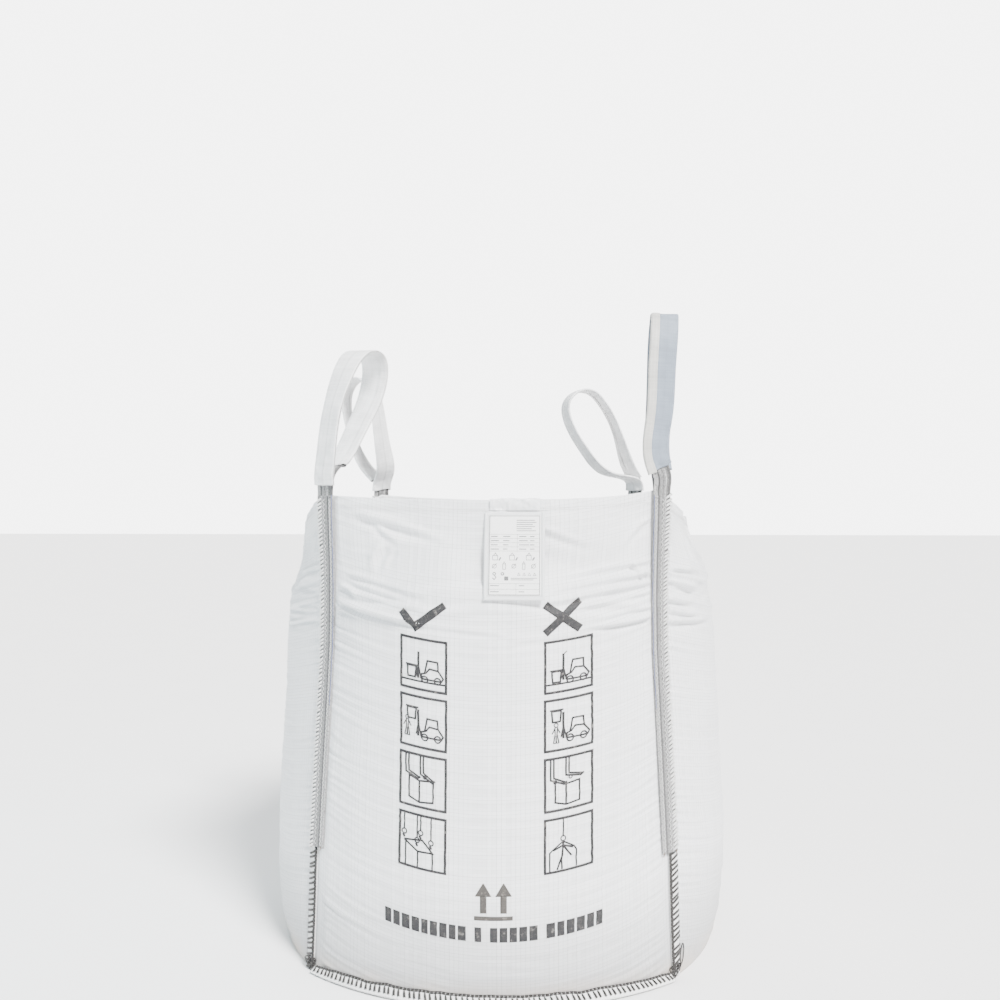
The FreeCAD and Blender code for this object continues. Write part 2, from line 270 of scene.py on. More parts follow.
def apply_modifiers(obj):
    bpy.context.view_layer.update()
    graph = bpy.context.evaluated_depsgraph_get()
    mesh = bpy.data.meshes.new_from_object(obj.evaluated_get(graph))
    old = obj.data
    obj.modifiers.clear()
    obj.data = mesh
    bpy.data.meshes.remove(old)
    mesh.name = obj.name
    return obj


def tubes(name, lines, radius, material, sides=6):
    """One mesh of round threads along polylines. radius is one number, or one for each line."""
    turn = np.linspace(0, 2 * math.pi, sides, endpoint=False)
    points, faces, uvs = [], [], []
    for line, thick in zip(lines, np.broadcast_to(radius, len(lines))):
        line = np.asarray(line, float)
        tangent = unit(np.gradient(line, axis=0) + 1e-12)
        side = unit(np.cross(tangent, np.array((0.31, 0.52, 0.79))))
        up = np.cross(tangent, side)
        ring = line[:, None] + thick * (np.cos(turn)[None, :, None] * side[:, None]
                                        + np.sin(turn)[None, :, None] * up[:, None])
        ring[0] = line[0] + 0.6 * (ring[0] - line[0])
        ring[-1] = line[-1] + 0.6 * (ring[-1] - line[-1])
        base = sum(len(p) for p in points)
        points.append(ring.reshape(-1, 3))
        length = np.concatenate(([0], np.cumsum(np.linalg.norm(np.diff(line, axis=0), axis=1))))
        uvs.append(np.stack(np.broadcast_arrays(turn[None, :] * thick, length[:, None]), -1).reshape(-1, 2))
        faces += [[base + k for k in f] for f in grid_faces(len(line), sides, wrap=True)]
        faces.append([base + k for k in range(sides)][::-1])
        faces.append([base + (len(line) - 1) * sides + k for k in range(sides)])
    return add_mesh(name, np.concatenate(points), faces, np.concatenate(uvs), material)


def place(obj, body, slot, *nodes):
    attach(obj, body)
    if nodes:
        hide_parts(*nodes)
    return obj


# ---------------------------------------------------------------- materials

class Look:
    """A node material with one Principled shader."""

    def __init__(self, name, colour, roughness, **sockets):
        self.material = bpy.data.materials.new(name)
        self.material.use_nodes = True
        self.tree = self.material.node_tree
        self.shader = self.tree.nodes["Principled BSDF"]
        self.set(self.shader, "Base Color", (*colour, 1.0))
        self.set(self.shader, "Roughness", roughness)
        for key, value in sockets.items():
            self.set(self.shader, key.replace("_", " "), value)

    def set(self, node, key, value):
        socket = node.inputs[key]
        if isinstance(value, bpy.types.NodeSocket):
            self.tree.links.new(value, socket)
        else:
            socket.default_value = value

    def node(self, kind, out=0, settings=None, **inputs):
        node = self.tree.nodes.new(kind)
        for key, value in (settings or {}).items():
            setattr(node, key, value)
        for key, value in inputs.items():
            self.set(node, int(key[1:]) if key[0] == "i" and key[1:].isdigit() else key, value)
        return node.outputs[out]

    def math(self, operation, *values):
        inputs = {f"i{k}": value for k, value in enumerate(values)}
        return self.node("ShaderNodeMath", settings={"operation": operation}, **inputs)

    def uv(self):
        return self.node("ShaderNodeTexCoord", out="UV")

    def place(self):
        return self.node("ShaderNodeTexCoord", out="Object")

    def split(self, vector):
        node = self.tree.nodes.new("ShaderNodeSeparateXYZ")
        self.set(node, 0, vector)
        return node.outputs

    def random(self, value):
        return self.node("ShaderNodeTexWhiteNoise", settings={"noise_dimensions": "1D"}, W=value)

    def noise(self, vector, scale, detail=3.0):
        return self.node("ShaderNodeTexNoise", Vector=vector, Scale=scale, Detail=detail)

    def ramp(self, value, low, high, to_low, to_high):
        node = self.tree.nodes.new("ShaderNodeMapRange")
        for key, item in zip(("Value", "From Min", "From Max", "To Min", "To Max"),
                             (value, low, high, to_low, to_high)):
            self.set(node, key, item)
        return node.outputs[0]

    def mix(self, share, first, second):
        node = self.tree.nodes.new("ShaderNodeMix")
        node.data_type = "RGBA"
        self.set(node, 0, share)
        for index, colour in ((6, first), (7, second)):
            value = colour if isinstance(colour, bpy.types.NodeSocket) else (*colour, 1.0)
            self.set(node, index, value)
        return node.outputs[2]

    def shade(self, colour, value):
        node = self.tree.nodes.new("ShaderNodeMix")
        node.data_type = "RGBA"
        node.blend_type = "MULTIPLY"
        self.set(node, 0, 1.0)
        self.set(node, 6, colour if isinstance(colour, bpy.types.NodeSocket) else (*colour, 1.0))
        self.set(node, 7, value)
        return node.outputs[2]

    def bump(self, height, strength, distance, normal=None):
        node = self.tree.nodes.new("ShaderNodeBump")
        self.set(node, "Height", height)
        self.set(node, "Strength", strength)
        self.set(node, "Distance", distance)
        if normal is not None:
            self.set(node, "Normal", normal)
        return node.outputs[0]

    def finish(self, colour=None, normal=None, roughness=None):
        for key, value in (("Base Color", colour), ("Normal", normal), ("Roughness", roughness)):
            if value is not None:
                self.set(self.shader, key, value)
        return self.material


def weave(look, tape):
    """Plain weave of flat tapes: relief from 0 to 1, and a tone that differs from tape to tape."""
    u, v = look.split(look.uv())[:2]
    across, along = look.math("DIVIDE", u, tape), look.math("DIVIDE", v, tape)
    column, row = look.math("FLOOR", across), look.math("FLOOR", along)
    parity = look.math("PINGPONG", look.math("ADD", column, row), 1.0)
    warp = look.math("SINE", look.math("MULTIPLY", look.math("FRACT", across), math.pi))
    weft = look.math("SINE", look.math("MULTIPLY", look.math("FRACT", along), math.pi))
    over = look.math("MULTIPLY", parity, warp)
    under = look.math("MULTIPLY", look.math("SUBTRACT", 1.0, parity), weft)
    relief = look.math("ADD", over, under)
    tone = look.math("ADD", look.random(column), look.random(look.math("ADD", row, 0.5)))
    return relief, tone


def cloth_look(name, colour, tape=0.0026, relief_depth=0.00035, spread=0.035, dirt_and_painted_shade=False):
    look = Look(name, colour, 0.55, Specular_IOR_Level=0.35, Sheen_Weight=0.12, Sheen_Roughness=0.4)
    relief, tone = weave(look, tape)
    mottle = look.noise(look.place(), 6.0, 4.0)
    u, v = look.split(look.uv())[:2]
    stripes = look.math("ADD", look.random(look.math("FLOOR", look.math("DIVIDE", u, 4 * tape))),
                        look.random(look.math("FLOOR", look.math("DIVIDE", v, 3 * tape))))
    shade = look.math("ADD", look.ramp(tone, 0.0, 2.0, 1.0 - spread, 1.0),
                      look.ramp(mottle, 0.3, 0.7, -0.02, 0.01))
    shade = look.math("MULTIPLY", shade, look.ramp(stripes, 0.0, 0.9, 1.0 - 3.2 * spread, 1.0))
    shade = look.math("MULTIPLY", shade, look.ramp(relief, 0.0, 0.6, 0.90, 1.0))
    for axis, gauge in ((u, 4 * tape), (v, 3 * tape)):
        place = look.math("DIVIDE", axis, gauge)
        line = look.ramp(look.math("FRACT", place), 0.0, 0.16, 1.0, 0.0)
        chance = look.random(look.math("FLOOR", place))
        depth = look.math("MULTIPLY", line, look.ramp(chance, 0.0, 1.0, 0.08, 0.46))
        shade = look.math("MULTIPLY", shade, look.math("SUBTRACT", 1.0, depth))
    # Darker towards the base: painted shade for the dimmer light on the low cloth.
    if dirt_and_painted_shade:
        z = look.split(look.place())[2]
        shade = look.math("MULTIPLY", shade, look.ramp(z, 0.0, 0.25, 0.50, 1.0))
    tint = look.shade(colour, shade)
    if dirt_and_painted_shade:
        patches = look.noise(look.place(), 9.0, 5.0)
        patches = look.ramp(patches, 0.35, 0.75, 0.25, 1.0)
        low = look.math("MULTIPLY", look.ramp(z, 0.014, 0.062, 1.0, 0.0), patches)
        tint = look.mix(look.math("MULTIPLY", low, 0.60), tint, (0.60, 0.46, 0.33))
        specks = look.ramp(look.noise(look.place(), 60.0, 5.0), 0.70, 0.78, 0.0, 0.12)
        tint = look.mix(specks, tint, (0.45, 0.42, 0.38))
    normal = look.bump(relief, 0.5, relief_depth)
    normal = look.bump(look.noise(look.place(), 140.0, 4.0), 0.25, 0.0006, normal)
    return look.finish(tint, normal, look.ramp(relief, 0.0, 1.0, 0.70, 0.48))


def webbing_look(name, colour, dark):
    look = Look(name, colour, 0.6, Specular_IOR_Level=0.3, Sheen_Weight=0.15)
    u, v = look.split(look.uv())[:2]
    rib = look.math("SINE", look.math("MULTIPLY", u, 2 * math.pi / 0.0042))
    pick = look.math("SINE", look.math("ADD", look.math("MULTIPLY", v, 2 * math.pi / 0.0036),
                                       look.math("MULTIPLY", u, 1500.0)))
    relief = look.math("ADD", rib, look.math("MULTIPLY", pick, 0.6))
    speckle = look.noise(look.place(), 420.0, 3.0)
    long_tone = look.random(look.math("FLOOR", look.math("DIVIDE", u, 0.0042)))
    tint = look.mix(look.ramp(speckle, 0.40, 0.62, 0.0, 0.85), colour, dark)
    tint = look.shade(tint, look.ramp(long_tone, 0.0, 1.0, 0.50, 1.04))
    groove = look.math("ABSOLUTE", look.math("ADD", u, 0.0105))
    tint = look.shade(tint, look.ramp(groove, 0.0010, 0.0034, 0.22, 1.0))
    groove = look.math("ABSOLUTE", look.math("ADD", u, -0.0020))
    tint = look.shade(tint, look.ramp(groove, 0.0008, 0.0026, 0.36, 1.0))
    tint = look.shade(tint, look.ramp(u, 0.0095, 0.0125, 1.0, 0.38))
    tint = look.shade(tint, look.ramp(relief, -1.6, 1.0, 0.72, 1.0))
    return look.finish(tint, look.bump(relief, 0.6, 0.0004))


def sleeve_look(name, body, flap, edge):
    """Woven sleeve cloth: the folded-over flap is paler than the body."""
    look = Look(name, body, 0.55, Specular_IOR_Level=0.35, Sheen_Weight=0.15)
    relief, tone = weave(look, 0.0022)
    u = look.split(look.uv())[0]
    wrapped = look.ramp(u, edge, edge + 0.0005, 0.0, 1.0)
    tint = look.mix(wrapped, body, flap)
    # Painted shade: a dark line along the fold where the flap turns over the sleeve's edge.
    hem = look.math("ABSOLUTE", look.math("SUBTRACT", u, edge))
    tint = look.shade(tint, look.ramp(hem, 0.0006, 0.0022, 0.45, 1.0))
    centre = look.math("ABSOLUTE", look.math("SUBTRACT", u, edge - 0.5 * SLEEVE_WIDTH))
    tint = look.shade(tint, look.ramp(centre, 0.0004, 0.0016, 0.80, 1.0))
    tint = look.shade(tint, look.ramp(tone, 0.0, 2.0, 0.82, 1.0))
    tint = look.shade(tint, look.ramp(relief, 0.0, 0.7, 0.74, 1.0))
    fade = look.noise(look.place(), 26.0, 4.0)
    tint = look.shade(tint, look.ramp(fade, 0.3, 0.7, 0.84, 1.04))
    normal = look.bump(relief, 0.6, 0.0003)
    normal = look.bump(look.noise(look.place(), 55.0, 3.0), 0.3, 0.0015, normal)
    return look.finish(tint, normal)


def thread_look(name, colour, dark):
    look = Look(name, colour, 0.65, Specular_IOR_Level=0.3, Sheen_Weight=0.2)
    u, v = look.split(look.uv())[:2]
    twist = look.math("SINE", look.math("ADD", look.math("MULTIPLY", v, 2 * math.pi / 0.0022),
                                        look.math("MULTIPLY", u, 2400.0)))
    fuzz = look.noise(look.place(), 900.0, 2.0)
    tint = look.mix(look.ramp(twist, -1.0, 0.6, 0.7, 0.0), colour, dark)
    tint = look.shade(tint, look.ramp(fuzz, 0.3, 0.7, 0.8, 1.1))
    return look.finish(tint, look.bump(twist, 0.6, 0.0004))


def ink_look(name, colour, pale):
    look = Look(name, colour, 0.6, Specular_IOR_Level=0.3)
    relief, tone = weave(look, 0.0026)
    gaps = look.math("MULTIPLY", look.ramp(relief, 0.0, 0.35, 0.6, 0.0), look.ramp(tone, 0.6, 1.6, 0.15, 0.9))
    worn = look.ramp(look.noise(look.place(), 110.0, 4.0), 0.58, 0.75, 0.0, 0.45)
    tint = look.mix(gaps, colour, pale)
    return look.finish(look.mix(worn, tint, pale), look.bump(relief, 0.4, 0.0003))


def film_look(name, colour, alpha, crinkle):
    look = Look(name, colour, 0.22, Specular_IOR_Level=0.5, Alpha=alpha)
    folds = look.noise(look.place(), 38.0, 3.0)
    return look.finish(None, look.bump(folds, crinkle, 0.004))


def paper_look(name, colour):
    look = Look(name, colour, 0.7, Specular_IOR_Level=0.3)
    grain = look.noise(look.place(), 300.0, 4.0)
    tint = look.shade(colour, look.ramp(grain, 0.3, 0.7, 0.97, 1.0))
    return look.finish(tint, look.bump(grain, 0.15, 0.0005))


def floor_look(name, colour):
    look = Look(name, colour, 0.75, Specular_IOR_Level=0.2)
    grain = look.noise(look.place(), 3.0, 3.0)
    return look.finish(look.shade(colour, look.ramp(grain, 0.3, 0.7, 0.985, 1.0)))


# Wall cloth: painted shade darkening towards the base, then brownish patches and grey specks near the floor.
CLOTH_LOOK = cloth_look("woven_cloth", (0.84, 0.85, 0.865), dirt_and_painted_shade=True)
SEAM_LOOK = cloth_look("seam_cloth", (0.84, 0.84, 0.83), spread=0.05)
WEB_LOOK = webbing_look("webbing", (0.56, 0.56, 0.56), (0.14, 0.14, 0.14))
# This sleeve's dark blue-grey body colour is painted shade, where the webbing darkens the thin cloth; its
# flap has the cloth's own pale colour.
PAINTED_SHADE_SLEEVE = sleeve_look("painted_shade_sleeve_cloth", (0.27, 0.32, 0.39), (0.62, 0.61, 0.58), FLAP_STARTS)
WHITE_SLEEVE = sleeve_look("white_sleeve_cloth", (0.94, 0.945, 0.95), (0.95, 0.95, 0.95), FLAP_STARTS)
WHITE_THREAD = thread_look("white_thread", (0.90, 0.90, 0.89), (0.50, 0.50, 0.50))
BLACK_THREAD = thread_look("black_thread", (0.035, 0.032, 0.030), (0.008, 0.008, 0.008))
BLUE_THREAD = thread_look("blue_thread", (0.07, 0.10, 0.28), (0.03, 0.04, 0.12))
BROWN_THREAD = thread_look("brown_thread", (0.16, 0.09, 0.05), (0.06, 0.03, 0.02))
INK = ink_look("ink", (0.018, 0.018, 0.020), (0.30, 0.28, 0.26))
SOFT_INK = ink_look("soft_ink", (0.055, 0.050, 0.046), (0.34, 0.31, 0.28))
GREY_INK = ink_look("label_ink", (0.02, 0.02, 0.022), (0.16, 0.16, 0.16))
PAPER = paper_look("label_paper", (0.90, 0.90, 0.89))
FILM = film_look("clear_film", (0.95, 0.96, 0.97), 0.07, 0.5)
WELD = film_look("welded_film", (0.93, 0.94, 0.95), 0.62, 0.6)
FLOOR_LOOK = floor_look("floor", (0.90, 0.90, 0.90))


# ---------------------------------------------------------------- the four walls

def rim_height(side, x):
    share = x / RIM_HALF
    if side == "front":
        return 1.100 + np.where(share < 0, 0.012 * share ** 2, 0.026 * np.abs(share) ** 3)
    if side == "rear":
        return 1.100 + 0.016 * share ** 2
    return 1.055 + 0.062 * np.abs(share) ** 2.2


def crease_relief(x, z, crease):
    x0, z0, x1, z1, bow, width, height = crease
    dx, dz = x1 - x0, z1 - z0
    length = math.hypot(dx, dz)
    along = ((x - x0) * dx + (z - z0) * dz) / length ** 2
    off = ((z - z0) * dx - (x - x0) * dz) / length * (1 if dx > 0 else -1)
    off = off - bow * 4 * along * (1 - along)
    ends = step(-0.05, 0.18, along) * (1 - step(0.5, 1.08, along))
    ridge = np.exp(-(off / width) ** 2) - 0.75 * np.exp(-((off + 1.9 * width) / (1.1 * width)) ** 2)
    return height * ends * ridge


def random_creases(seed):
    rng = np.random.default_rng(seed)
    creases = []
    for sign in (-1, 1):
        for k in range(11):
            z = 0.815 + 0.013 * k + rng.uniform(-0.006, 0.006)
            reach = rng.uniform(0.10, 0.27)
            fall = rng.uniform(0.012, 0.045)
            start = sign * rng.uniform(0.34, 0.385)
            creases.append((start, z, start - sign * reach, z - fall, rng.uniform(-0.005, 0.005),
                            rng.uniform(0.004, 0.008), rng.uniform(0.0018, 0.005)))
        for k in range(3):
            x = sign * rng.uniform(0.10, 0.32)
            creases.append((x, rng.uniform(1.0, 1.06), x + sign * rng.uniform(-0.04, 0.04),
                            rng.uniform(0.92, 0.96), rng.uniform(-0.006, 0.006), 0.008, 0.003))
    return creases


def wall_relief(side, x, z, rim, seed):
    """How far the cloth stands out from the smooth wall: folds, puckers along the seams and the hem."""
    gap = corner_at(z) - np.abs(x)
    filled = 1 - step(SHOULDER - 0.03, SHOULDER + 0.06, z)
    slack = step(SHOULDER - 0.01, SHOULDER + 0.10, z)
    q = z - CLOTH_RISE * x ** 2 + 0.10 * gap * np.exp(-gap / 0.08) + 0.006 * drift(x, z, 0.09, 0.05, seed)
    pucker = np.sin(2 * math.pi * q / 0.0185) + 0.7 * np.sin(2 * math.pi * q / 0.0295 + 1.3)
    strength = 0.0010 * np.exp(-gap / 0.055) + 0.00055 * np.exp(-gap / 0.20)
    patchy = 0.55 + 0.45 * drift(x, z, 0.10, 0.06, seed + 1)
    relief = pucker * strength * patchy * (0.25 + 0.75 * filled)
    relief = relief + filled * (0.00055 * drift(x, q, 0.17, 0.012, seed + 2)
                                + 0.00035 * drift(x, q, 0.06, 0.0075, seed + 3)
                                + 0.0018 * drift(x, z, 0.21, 0.16, seed + 4))
    inside = step(0.0, 0.09, gap)
    relief = relief + slack * inside * (0.0062 * drift(x, z, 0.15, 0.12, seed + 5)
                                        + 0.0022 * drift(x, z, 0.06, 0.09, seed + 6)
                                        + 0.0007 * drift(x, z, 0.05, 0.014, seed + 7))
    belt = bell(z, SHOULDER + 0.015, 0.050) * inside
    relief = relief + belt * 0.0026 * drift(x, z + 0.10 * np.abs(x), 0.13, 0.017, seed + 8)
    relief = relief * FOLD_STRENGTH
    creases = FRONT_CREASES if side == "front" else random_creases(seed)
    for crease in creases:
        relief = relief + 1.8 * crease_relief(x, z, crease)
    relief = relief + 0.0013 * bell(gap, 0.032, 0.0055) - 0.0016 * bell(gap, 0.0, 0.010)
    relief = relief + 0.0010 * step(rim - HEM - 0.002, rim - HEM + 0.001, z)
    relief = relief - 0.0007 * bell(rim - z, HEM_STITCH_DROP, 0.0022)
    return relief * step(0.006, 0.034, gap) * step(0.0, 0.03, z)


class Wall:
    """One woven wall: a grid of points and normals over the panel, before it is turned to its side."""

    def __init__(self, side, seed):
        self.side = side
        self.turn = SIDES[side]
        u = np.linspace(-1, 1, COLUMNS + 1)[None, :]
        t = np.linspace(0, 1, ROWS + 1)[:, None]
        rim = rim_height(side, u * RIM_HALF)
        z = CLOTH + t * (rim - CLOTH)
        radius, half = self.arc(z)
        x = radius * np.sin(u * half)
        y = radius - middle_at(z) - radius * np.cos(u * half)
        self.smooth = np.stack((x, y, z), axis=-1)
        across = np.gradient(self.smooth, axis=1)
        upward = np.gradient(self.smooth, axis=0)
        normal = unit(np.cross(across, upward))
        self.points = self.smooth + normal * wall_relief(side, x, z, rim, seed)[..., None]
        self.normals = unit(np.cross(np.gradient(self.points, axis=1), np.gradient(self.points, axis=0)))
        self.uv = np.stack(np.broadcast_arrays(u * radius * half, z - CLOTH_RISE * x ** 2), axis=-1)

    @staticmethod
    def arc(z):
        corner, middle = corner_at(z), middle_at(z)
        rise = middle - corner
        radius = (corner ** 2 + rise ** 2) / (2 * rise)
        return radius, np.arcsin(np.minimum(corner / radius, 1.0))

    def at(self, x, z, lift=0.0):
        """Points on the wrinkled wall above panel coordinates x and z, lift metres proud of it."""
        x, z = np.asarray(x, float), np.asarray(z, float)
        radius, half = self.arc(z)
        u = np.clip(np.arcsin(np.clip(x / radius, -1, 1)) / half, -1, 1)
        rim = rim_height(self.side, u * RIM_HALF)
        c = (u + 1) / 2 * COLUMNS
        r = np.clip((z - CLOTH) / (rim - CLOTH), 0, 1) * ROWS
        i = np.clip(np.floor(c).astype(int), 0, COLUMNS - 1)
        j = np.clip(np.floor(r).astype(int), 0, ROWS - 1)
        a, b = (c - i)[..., None], (r - j)[..., None]
        found = []
        for grid in (self.points, self.normals):
            low = grid[j, i] * (1 - a) + grid[j, i + 1] * a
            high = grid[j + 1, i] * (1 - a) + grid[j + 1, i + 1] * a
            found.append(low * (1 - b) + high * b)
        lift = np.asarray(lift, float)
        return about_z(found[0] + found[1] * lift[..., None], self.turn)

    def build(self, name, node, slot="woven_fabric"):
        obj = add_mesh(name, about_z(self.points, self.turn), grid_faces(ROWS + 1, COLUMNS + 1), self.uv,
                       CLOTH_LOOK)
        thicken(obj, CLOTH)
        place(obj, "bag", slot, node)
        return obj


WALLS = {side: Wall(side, seed) for side, seed in (("front", 11), ("right", 37), ("rear", 59), ("left", 83))}
WALLS["front"].build("front_panel_cloth", "front_panel")
WALLS["rear"].build("rear_panel_cloth", "rear_panel")
WALLS["right"].build("u_panel_right_wall", "u_panel")
WALLS["left"].build("u_panel_left_wall", "u_panel")


def base_sheet():
    """The bottom of the U-shaped panel, lightly rippled and flat on the floor."""
    rings, spokes = 24, 160
    edge = []
    for k in range(spokes):
        quarter = int(k // (spokes / 4))
        share = (k % (spokes / 4)) / (spokes / 4) * 2 - 1
        radius, half = Wall.arc(np.float64(CLOTH))
        middle = middle_at(CLOTH)
        x = radius * math.sin(share * half)
        y = radius - middle - radius * math.cos(share * half)
        edge.append(about_z(np.array((x, y, 0)), 90 * quarter))
    edge = np.array(edge)
    share = np.linspace(0.02, 1, rings)[:, None, None]
    points = edge[None] * share
    ripple = 0.0012 * (1 + drift(points[..., 0], points[..., 1], 0.06, 0.06, 5)) * (1 - share[..., 0] ** 4)
    points[..., 2] = CLOTH + ripple
    faces = grid_faces(rings, spokes, wrap=True) + [list(range(spokes))[::-1]]
    obj = add_mesh("u_panel_base", points, faces, points[..., :2], CLOTH_LOOK)
    thicken(obj, CLOTH * 0.8)
    place(obj, "bag", "woven_fabric", "u_panel")


base_sheet()


def hem_stitches(side):
    """Two rows of stitches along the hem."""
    wall = WALLS[side]
    lines = []
    for row, drop in enumerate((HEM_STITCH_DROP, HEM_STITCH_DROP + 0.0045)):
        for x in np.arange(-0.354, 0.354, 0.0074):
            xs = x + np.linspace(0, 0.0056, 5) + 0.0037 * row
            z = rim_height(side, xs) - drop
            lines.append(wall.at(xs, z, 0.0001 + 0.0007 * np.sin(np.linspace(0, math.pi, 5))))
    obj = tubes(side + "_hem_stitches", lines, 0.00055, WHITE_THREAD)
    place(obj, "bag", "white_thread", side + "_hem_stitching")


for side_name in SIDES:
    hem_stitches(side_name)


# ---------------------------------------------------------------- corner seams and straps

def corner_point(corner, z, across, depth):
    """A point at a corner: across runs along the strap's width, depth outward from the seam line."""
    sign_x, sign_y = CORNERS[corner]
    z, across, depth = np.broadcast_arrays(*(np.asarray(v, float) for v in (z, across, depth)))
    depth = depth + SEAM_LIFT
    turn = np.radians(np.interp(z, (STRAP_TURN_START, LEG_TOP), (STRAP_ANGLE, STRAP_ANGLE_TOP)))
    half = corner_at(z)
    x = half + np.cos(turn) * across + np.sin(turn) * depth
    y = -half + np.sin(turn) * across - np.cos(turn) * depth
    return np.stack((sign_x * x, -sign_y * y, z), axis=-1)


def slab_profile(low, high, bottom, top, count, relief=None):
    """Rounded outline of a flat band: across and depth, once round."""
    width = np.linspace(low, high, count)
    edge = np.sqrt(np.clip(1 - np.abs((width - (low + high) / 2) / ((high - low) / 2)) ** 14, 0, 1))
    middle, half = (bottom + top) / 2, (top - bottom) / 2
    extra = np.zeros(count) if relief is None else relief(width)
    upper = middle + half * (0.25 + 0.75 * edge) + extra * edge
    lower = middle - half * (0.25 + 0.75 * edge)
    across = np.concatenate((width, width[::-1]))
    return across, np.concatenate((upper, lower[::-1]))


def webbing_ribs(width):
    return 0.00035 * np.cos(2 * math.pi * width / 0.0125) + 0.00055 * (bell(width, 0.009, 0.0032)
                                                                       + bell(width, -0.005, 0.0025))


def layer(index):
    start = SEAM_THICK + LAYER_GAP + index * (WEBBING_THICK + LAYER_GAP)
    return start, start + WEBBING_THICK


def corner_sweep(name, corner, across, depth, heights, wander, material):
    """A band that runs up a corner, with a slightly wandering line."""
    seed = sorted(CORNERS).index(corner) + 3
    shift = wander * drift(heights, heights, 0.07, 1.0, seed)[:, None]
    ripple = 0.6 * wander * drift(heights, heights, 0.021, 1.0, seed + 9)[:, None]
    rings = corner_point(corner, heights[:, None], across[None] + shift * np.sign(across)[None],
                         depth[None] + np.abs(ripple) * 0.3)
    return sweep(name, rings, across, heights, material)


def seam_allowance(corner):
    heights = np.arange(SEAM_FOOT, 1.1135, 0.006)
    across, depth = slab_profile(0.0, SEAM_ALLOWANCE, 0.0, SEAM_THICK, 14)
    obj = corner_sweep(corner + "_seam_allowance", corner, across, depth, heights, 0.0006, SEAM_LOOK)
    place(obj, "bag", "woven_fabric", corner + "_corner_seam")


def strap_leg(corner, index, name):
    heights = np.arange(LEG_BOTTOM, LEG_TOP + 0.0001, 0.004)
    across, depth = slab_profile(-WEBBING_WIDTH / 2, WEBBING_WIDTH / 2, *layer(index), 40, webbing_ribs)
    obj = corner_sweep(f"{corner}_{name}", corner, across, depth, heights, 0.0004, WEB_LOOK)
    place(obj, "bag", "webbing", f"{corner}_strap_{name}")


def ladder(corner, bottom, top, pitch, inner, face, rise, jitter, seed):
    """Overlock bars: across the seam's face, round its edge and back underneath."""
    rng = np.random.default_rng(seed)
    lines = []
    for z in np.arange(bottom, top, pitch):
        start = z + rng.uniform(-jitter, jitter)
        lift = rise * rng.uniform(0.7, 1.3)
        edge = SEAM_ALLOWANCE + rng.uniform(0.0, 0.0012)
        span = edge - inner
        across = np.array((inner, inner + 0.3 * span, inner + 0.7 * span, edge, edge + 0.0012,
                           edge + 0.0006, edge - 0.003))
        depth = np.array((face, face + 0.0006, face + 0.0006, face - 0.0002, face * 0.55, 0.0004, -0.0004))
        heights = start + lift * np.array((0.0, 0.35, 0.75, 1.0, 1.05, 1.02, 0.95))
        lines.append(corner_point(corner, heights, across, depth))
    return lines


def needle_row(corner, bottom, top, pitch, across, depth, share):
    lines = []
    for z in np.arange(bottom, top, pitch):
        heights = np.linspace(z, z + share * pitch, 5)
        bow = depth + 0.0006 * np.sin(np.linspace(0, math.pi, 5))
        lines.append(corner_point(corner, heights, across, bow))
    return lines


def knot(corner, seed):
    """The tangle of thread where the corner seam meets the bottom seam."""
    rng = np.random.default_rng(seed)
    lines = []
    for _ in range(15):
        across0, z0 = rng.uniform(-0.004, 0.024), rng.uniform(0.010, 0.030)
        turn = np.linspace(0, rng.uniform(3.5, 6.0), 11) + rng.uniform(0, 6)
        size = rng.uniform(0.004, 0.009)
        lines.append(corner_point(corner, z0 + size * np.sin(turn), across0 + size * np.cos(turn),
                                  0.003 + 0.004 * rng.random() + 0.002 * np.sin(2 * turn)))
    return lines


def lower_threads(corner):
    seed = sorted(CORNERS).index(corner) * 5 + 70
    rise = 0.010 * CORNERS[corner][0] * -CORNERS[corner][1]
    lines = ladder(corner, SEAM_FOOT + 0.010, LEG_BOTTOM - 0.003, 0.0126, 0.005, SEAM_THICK, rise,
                   0.0016, seed)
    radii = [0.0028] * len(lines)
    needles = needle_row(corner, SEAM_FOOT, LEG_BOTTOM, 0.0088, 0.0020, SEAM_THICK + 0.0012, 1.0)
    needles += needle_row(corner, SEAM_FOOT + 0.004, LEG_BOTTOM, 0.0088, 0.0056, SEAM_THICK + 0.0012, 0.96)
    radii += [0.0022] * len(needles)
    loose = knot(corner, seed + 1)
    if corner == "front_right":
        loose.append(thread_tail())
    radii += [0.0013] * len(loose)
    obj = tubes(corner + "_black_overlock", lines + needles + loose, radii, BLACK_THREAD)
    place(obj, "bag", "black_thread", corner + "_lower_seam_thread")


def thread_tail():
    """The chain of thread left over at the end of the seam, doubled back into the knot."""
    turn = np.linspace(-0.4 * math.pi, 1.4 * math.pi, 24)
    across = 0.036 + 0.0055 * np.cos(turn) + 0.004 * np.sin(turn)
    heights = 0.050 + 0.022 * np.sin(turn)
    across = np.concatenate(((0.024,), across, (0.026,)))
    heights = np.concatenate(((0.018,), heights, (0.020,)))
    return corner_point("front_right", heights, across, 0.002)


def upper_threads(corner):
    seed = sorted(CORNERS).index(corner) * 5 + 40
    face = layer(1)[1]
    rise = 0.0090 * CORNERS[corner][0] * -CORNERS[corner][1]
    lines = ladder(corner, LEG_BOTTOM + 0.004, LEG_TOP - 0.004, 0.0092, 0.0110, face, rise, 0.0008, seed)
    obj = tubes(corner + "_white_overlock", lines, 0.0027, WHITE_THREAD)
    place(obj, "bag", "white_thread", corner + "_upper_seam_thread")


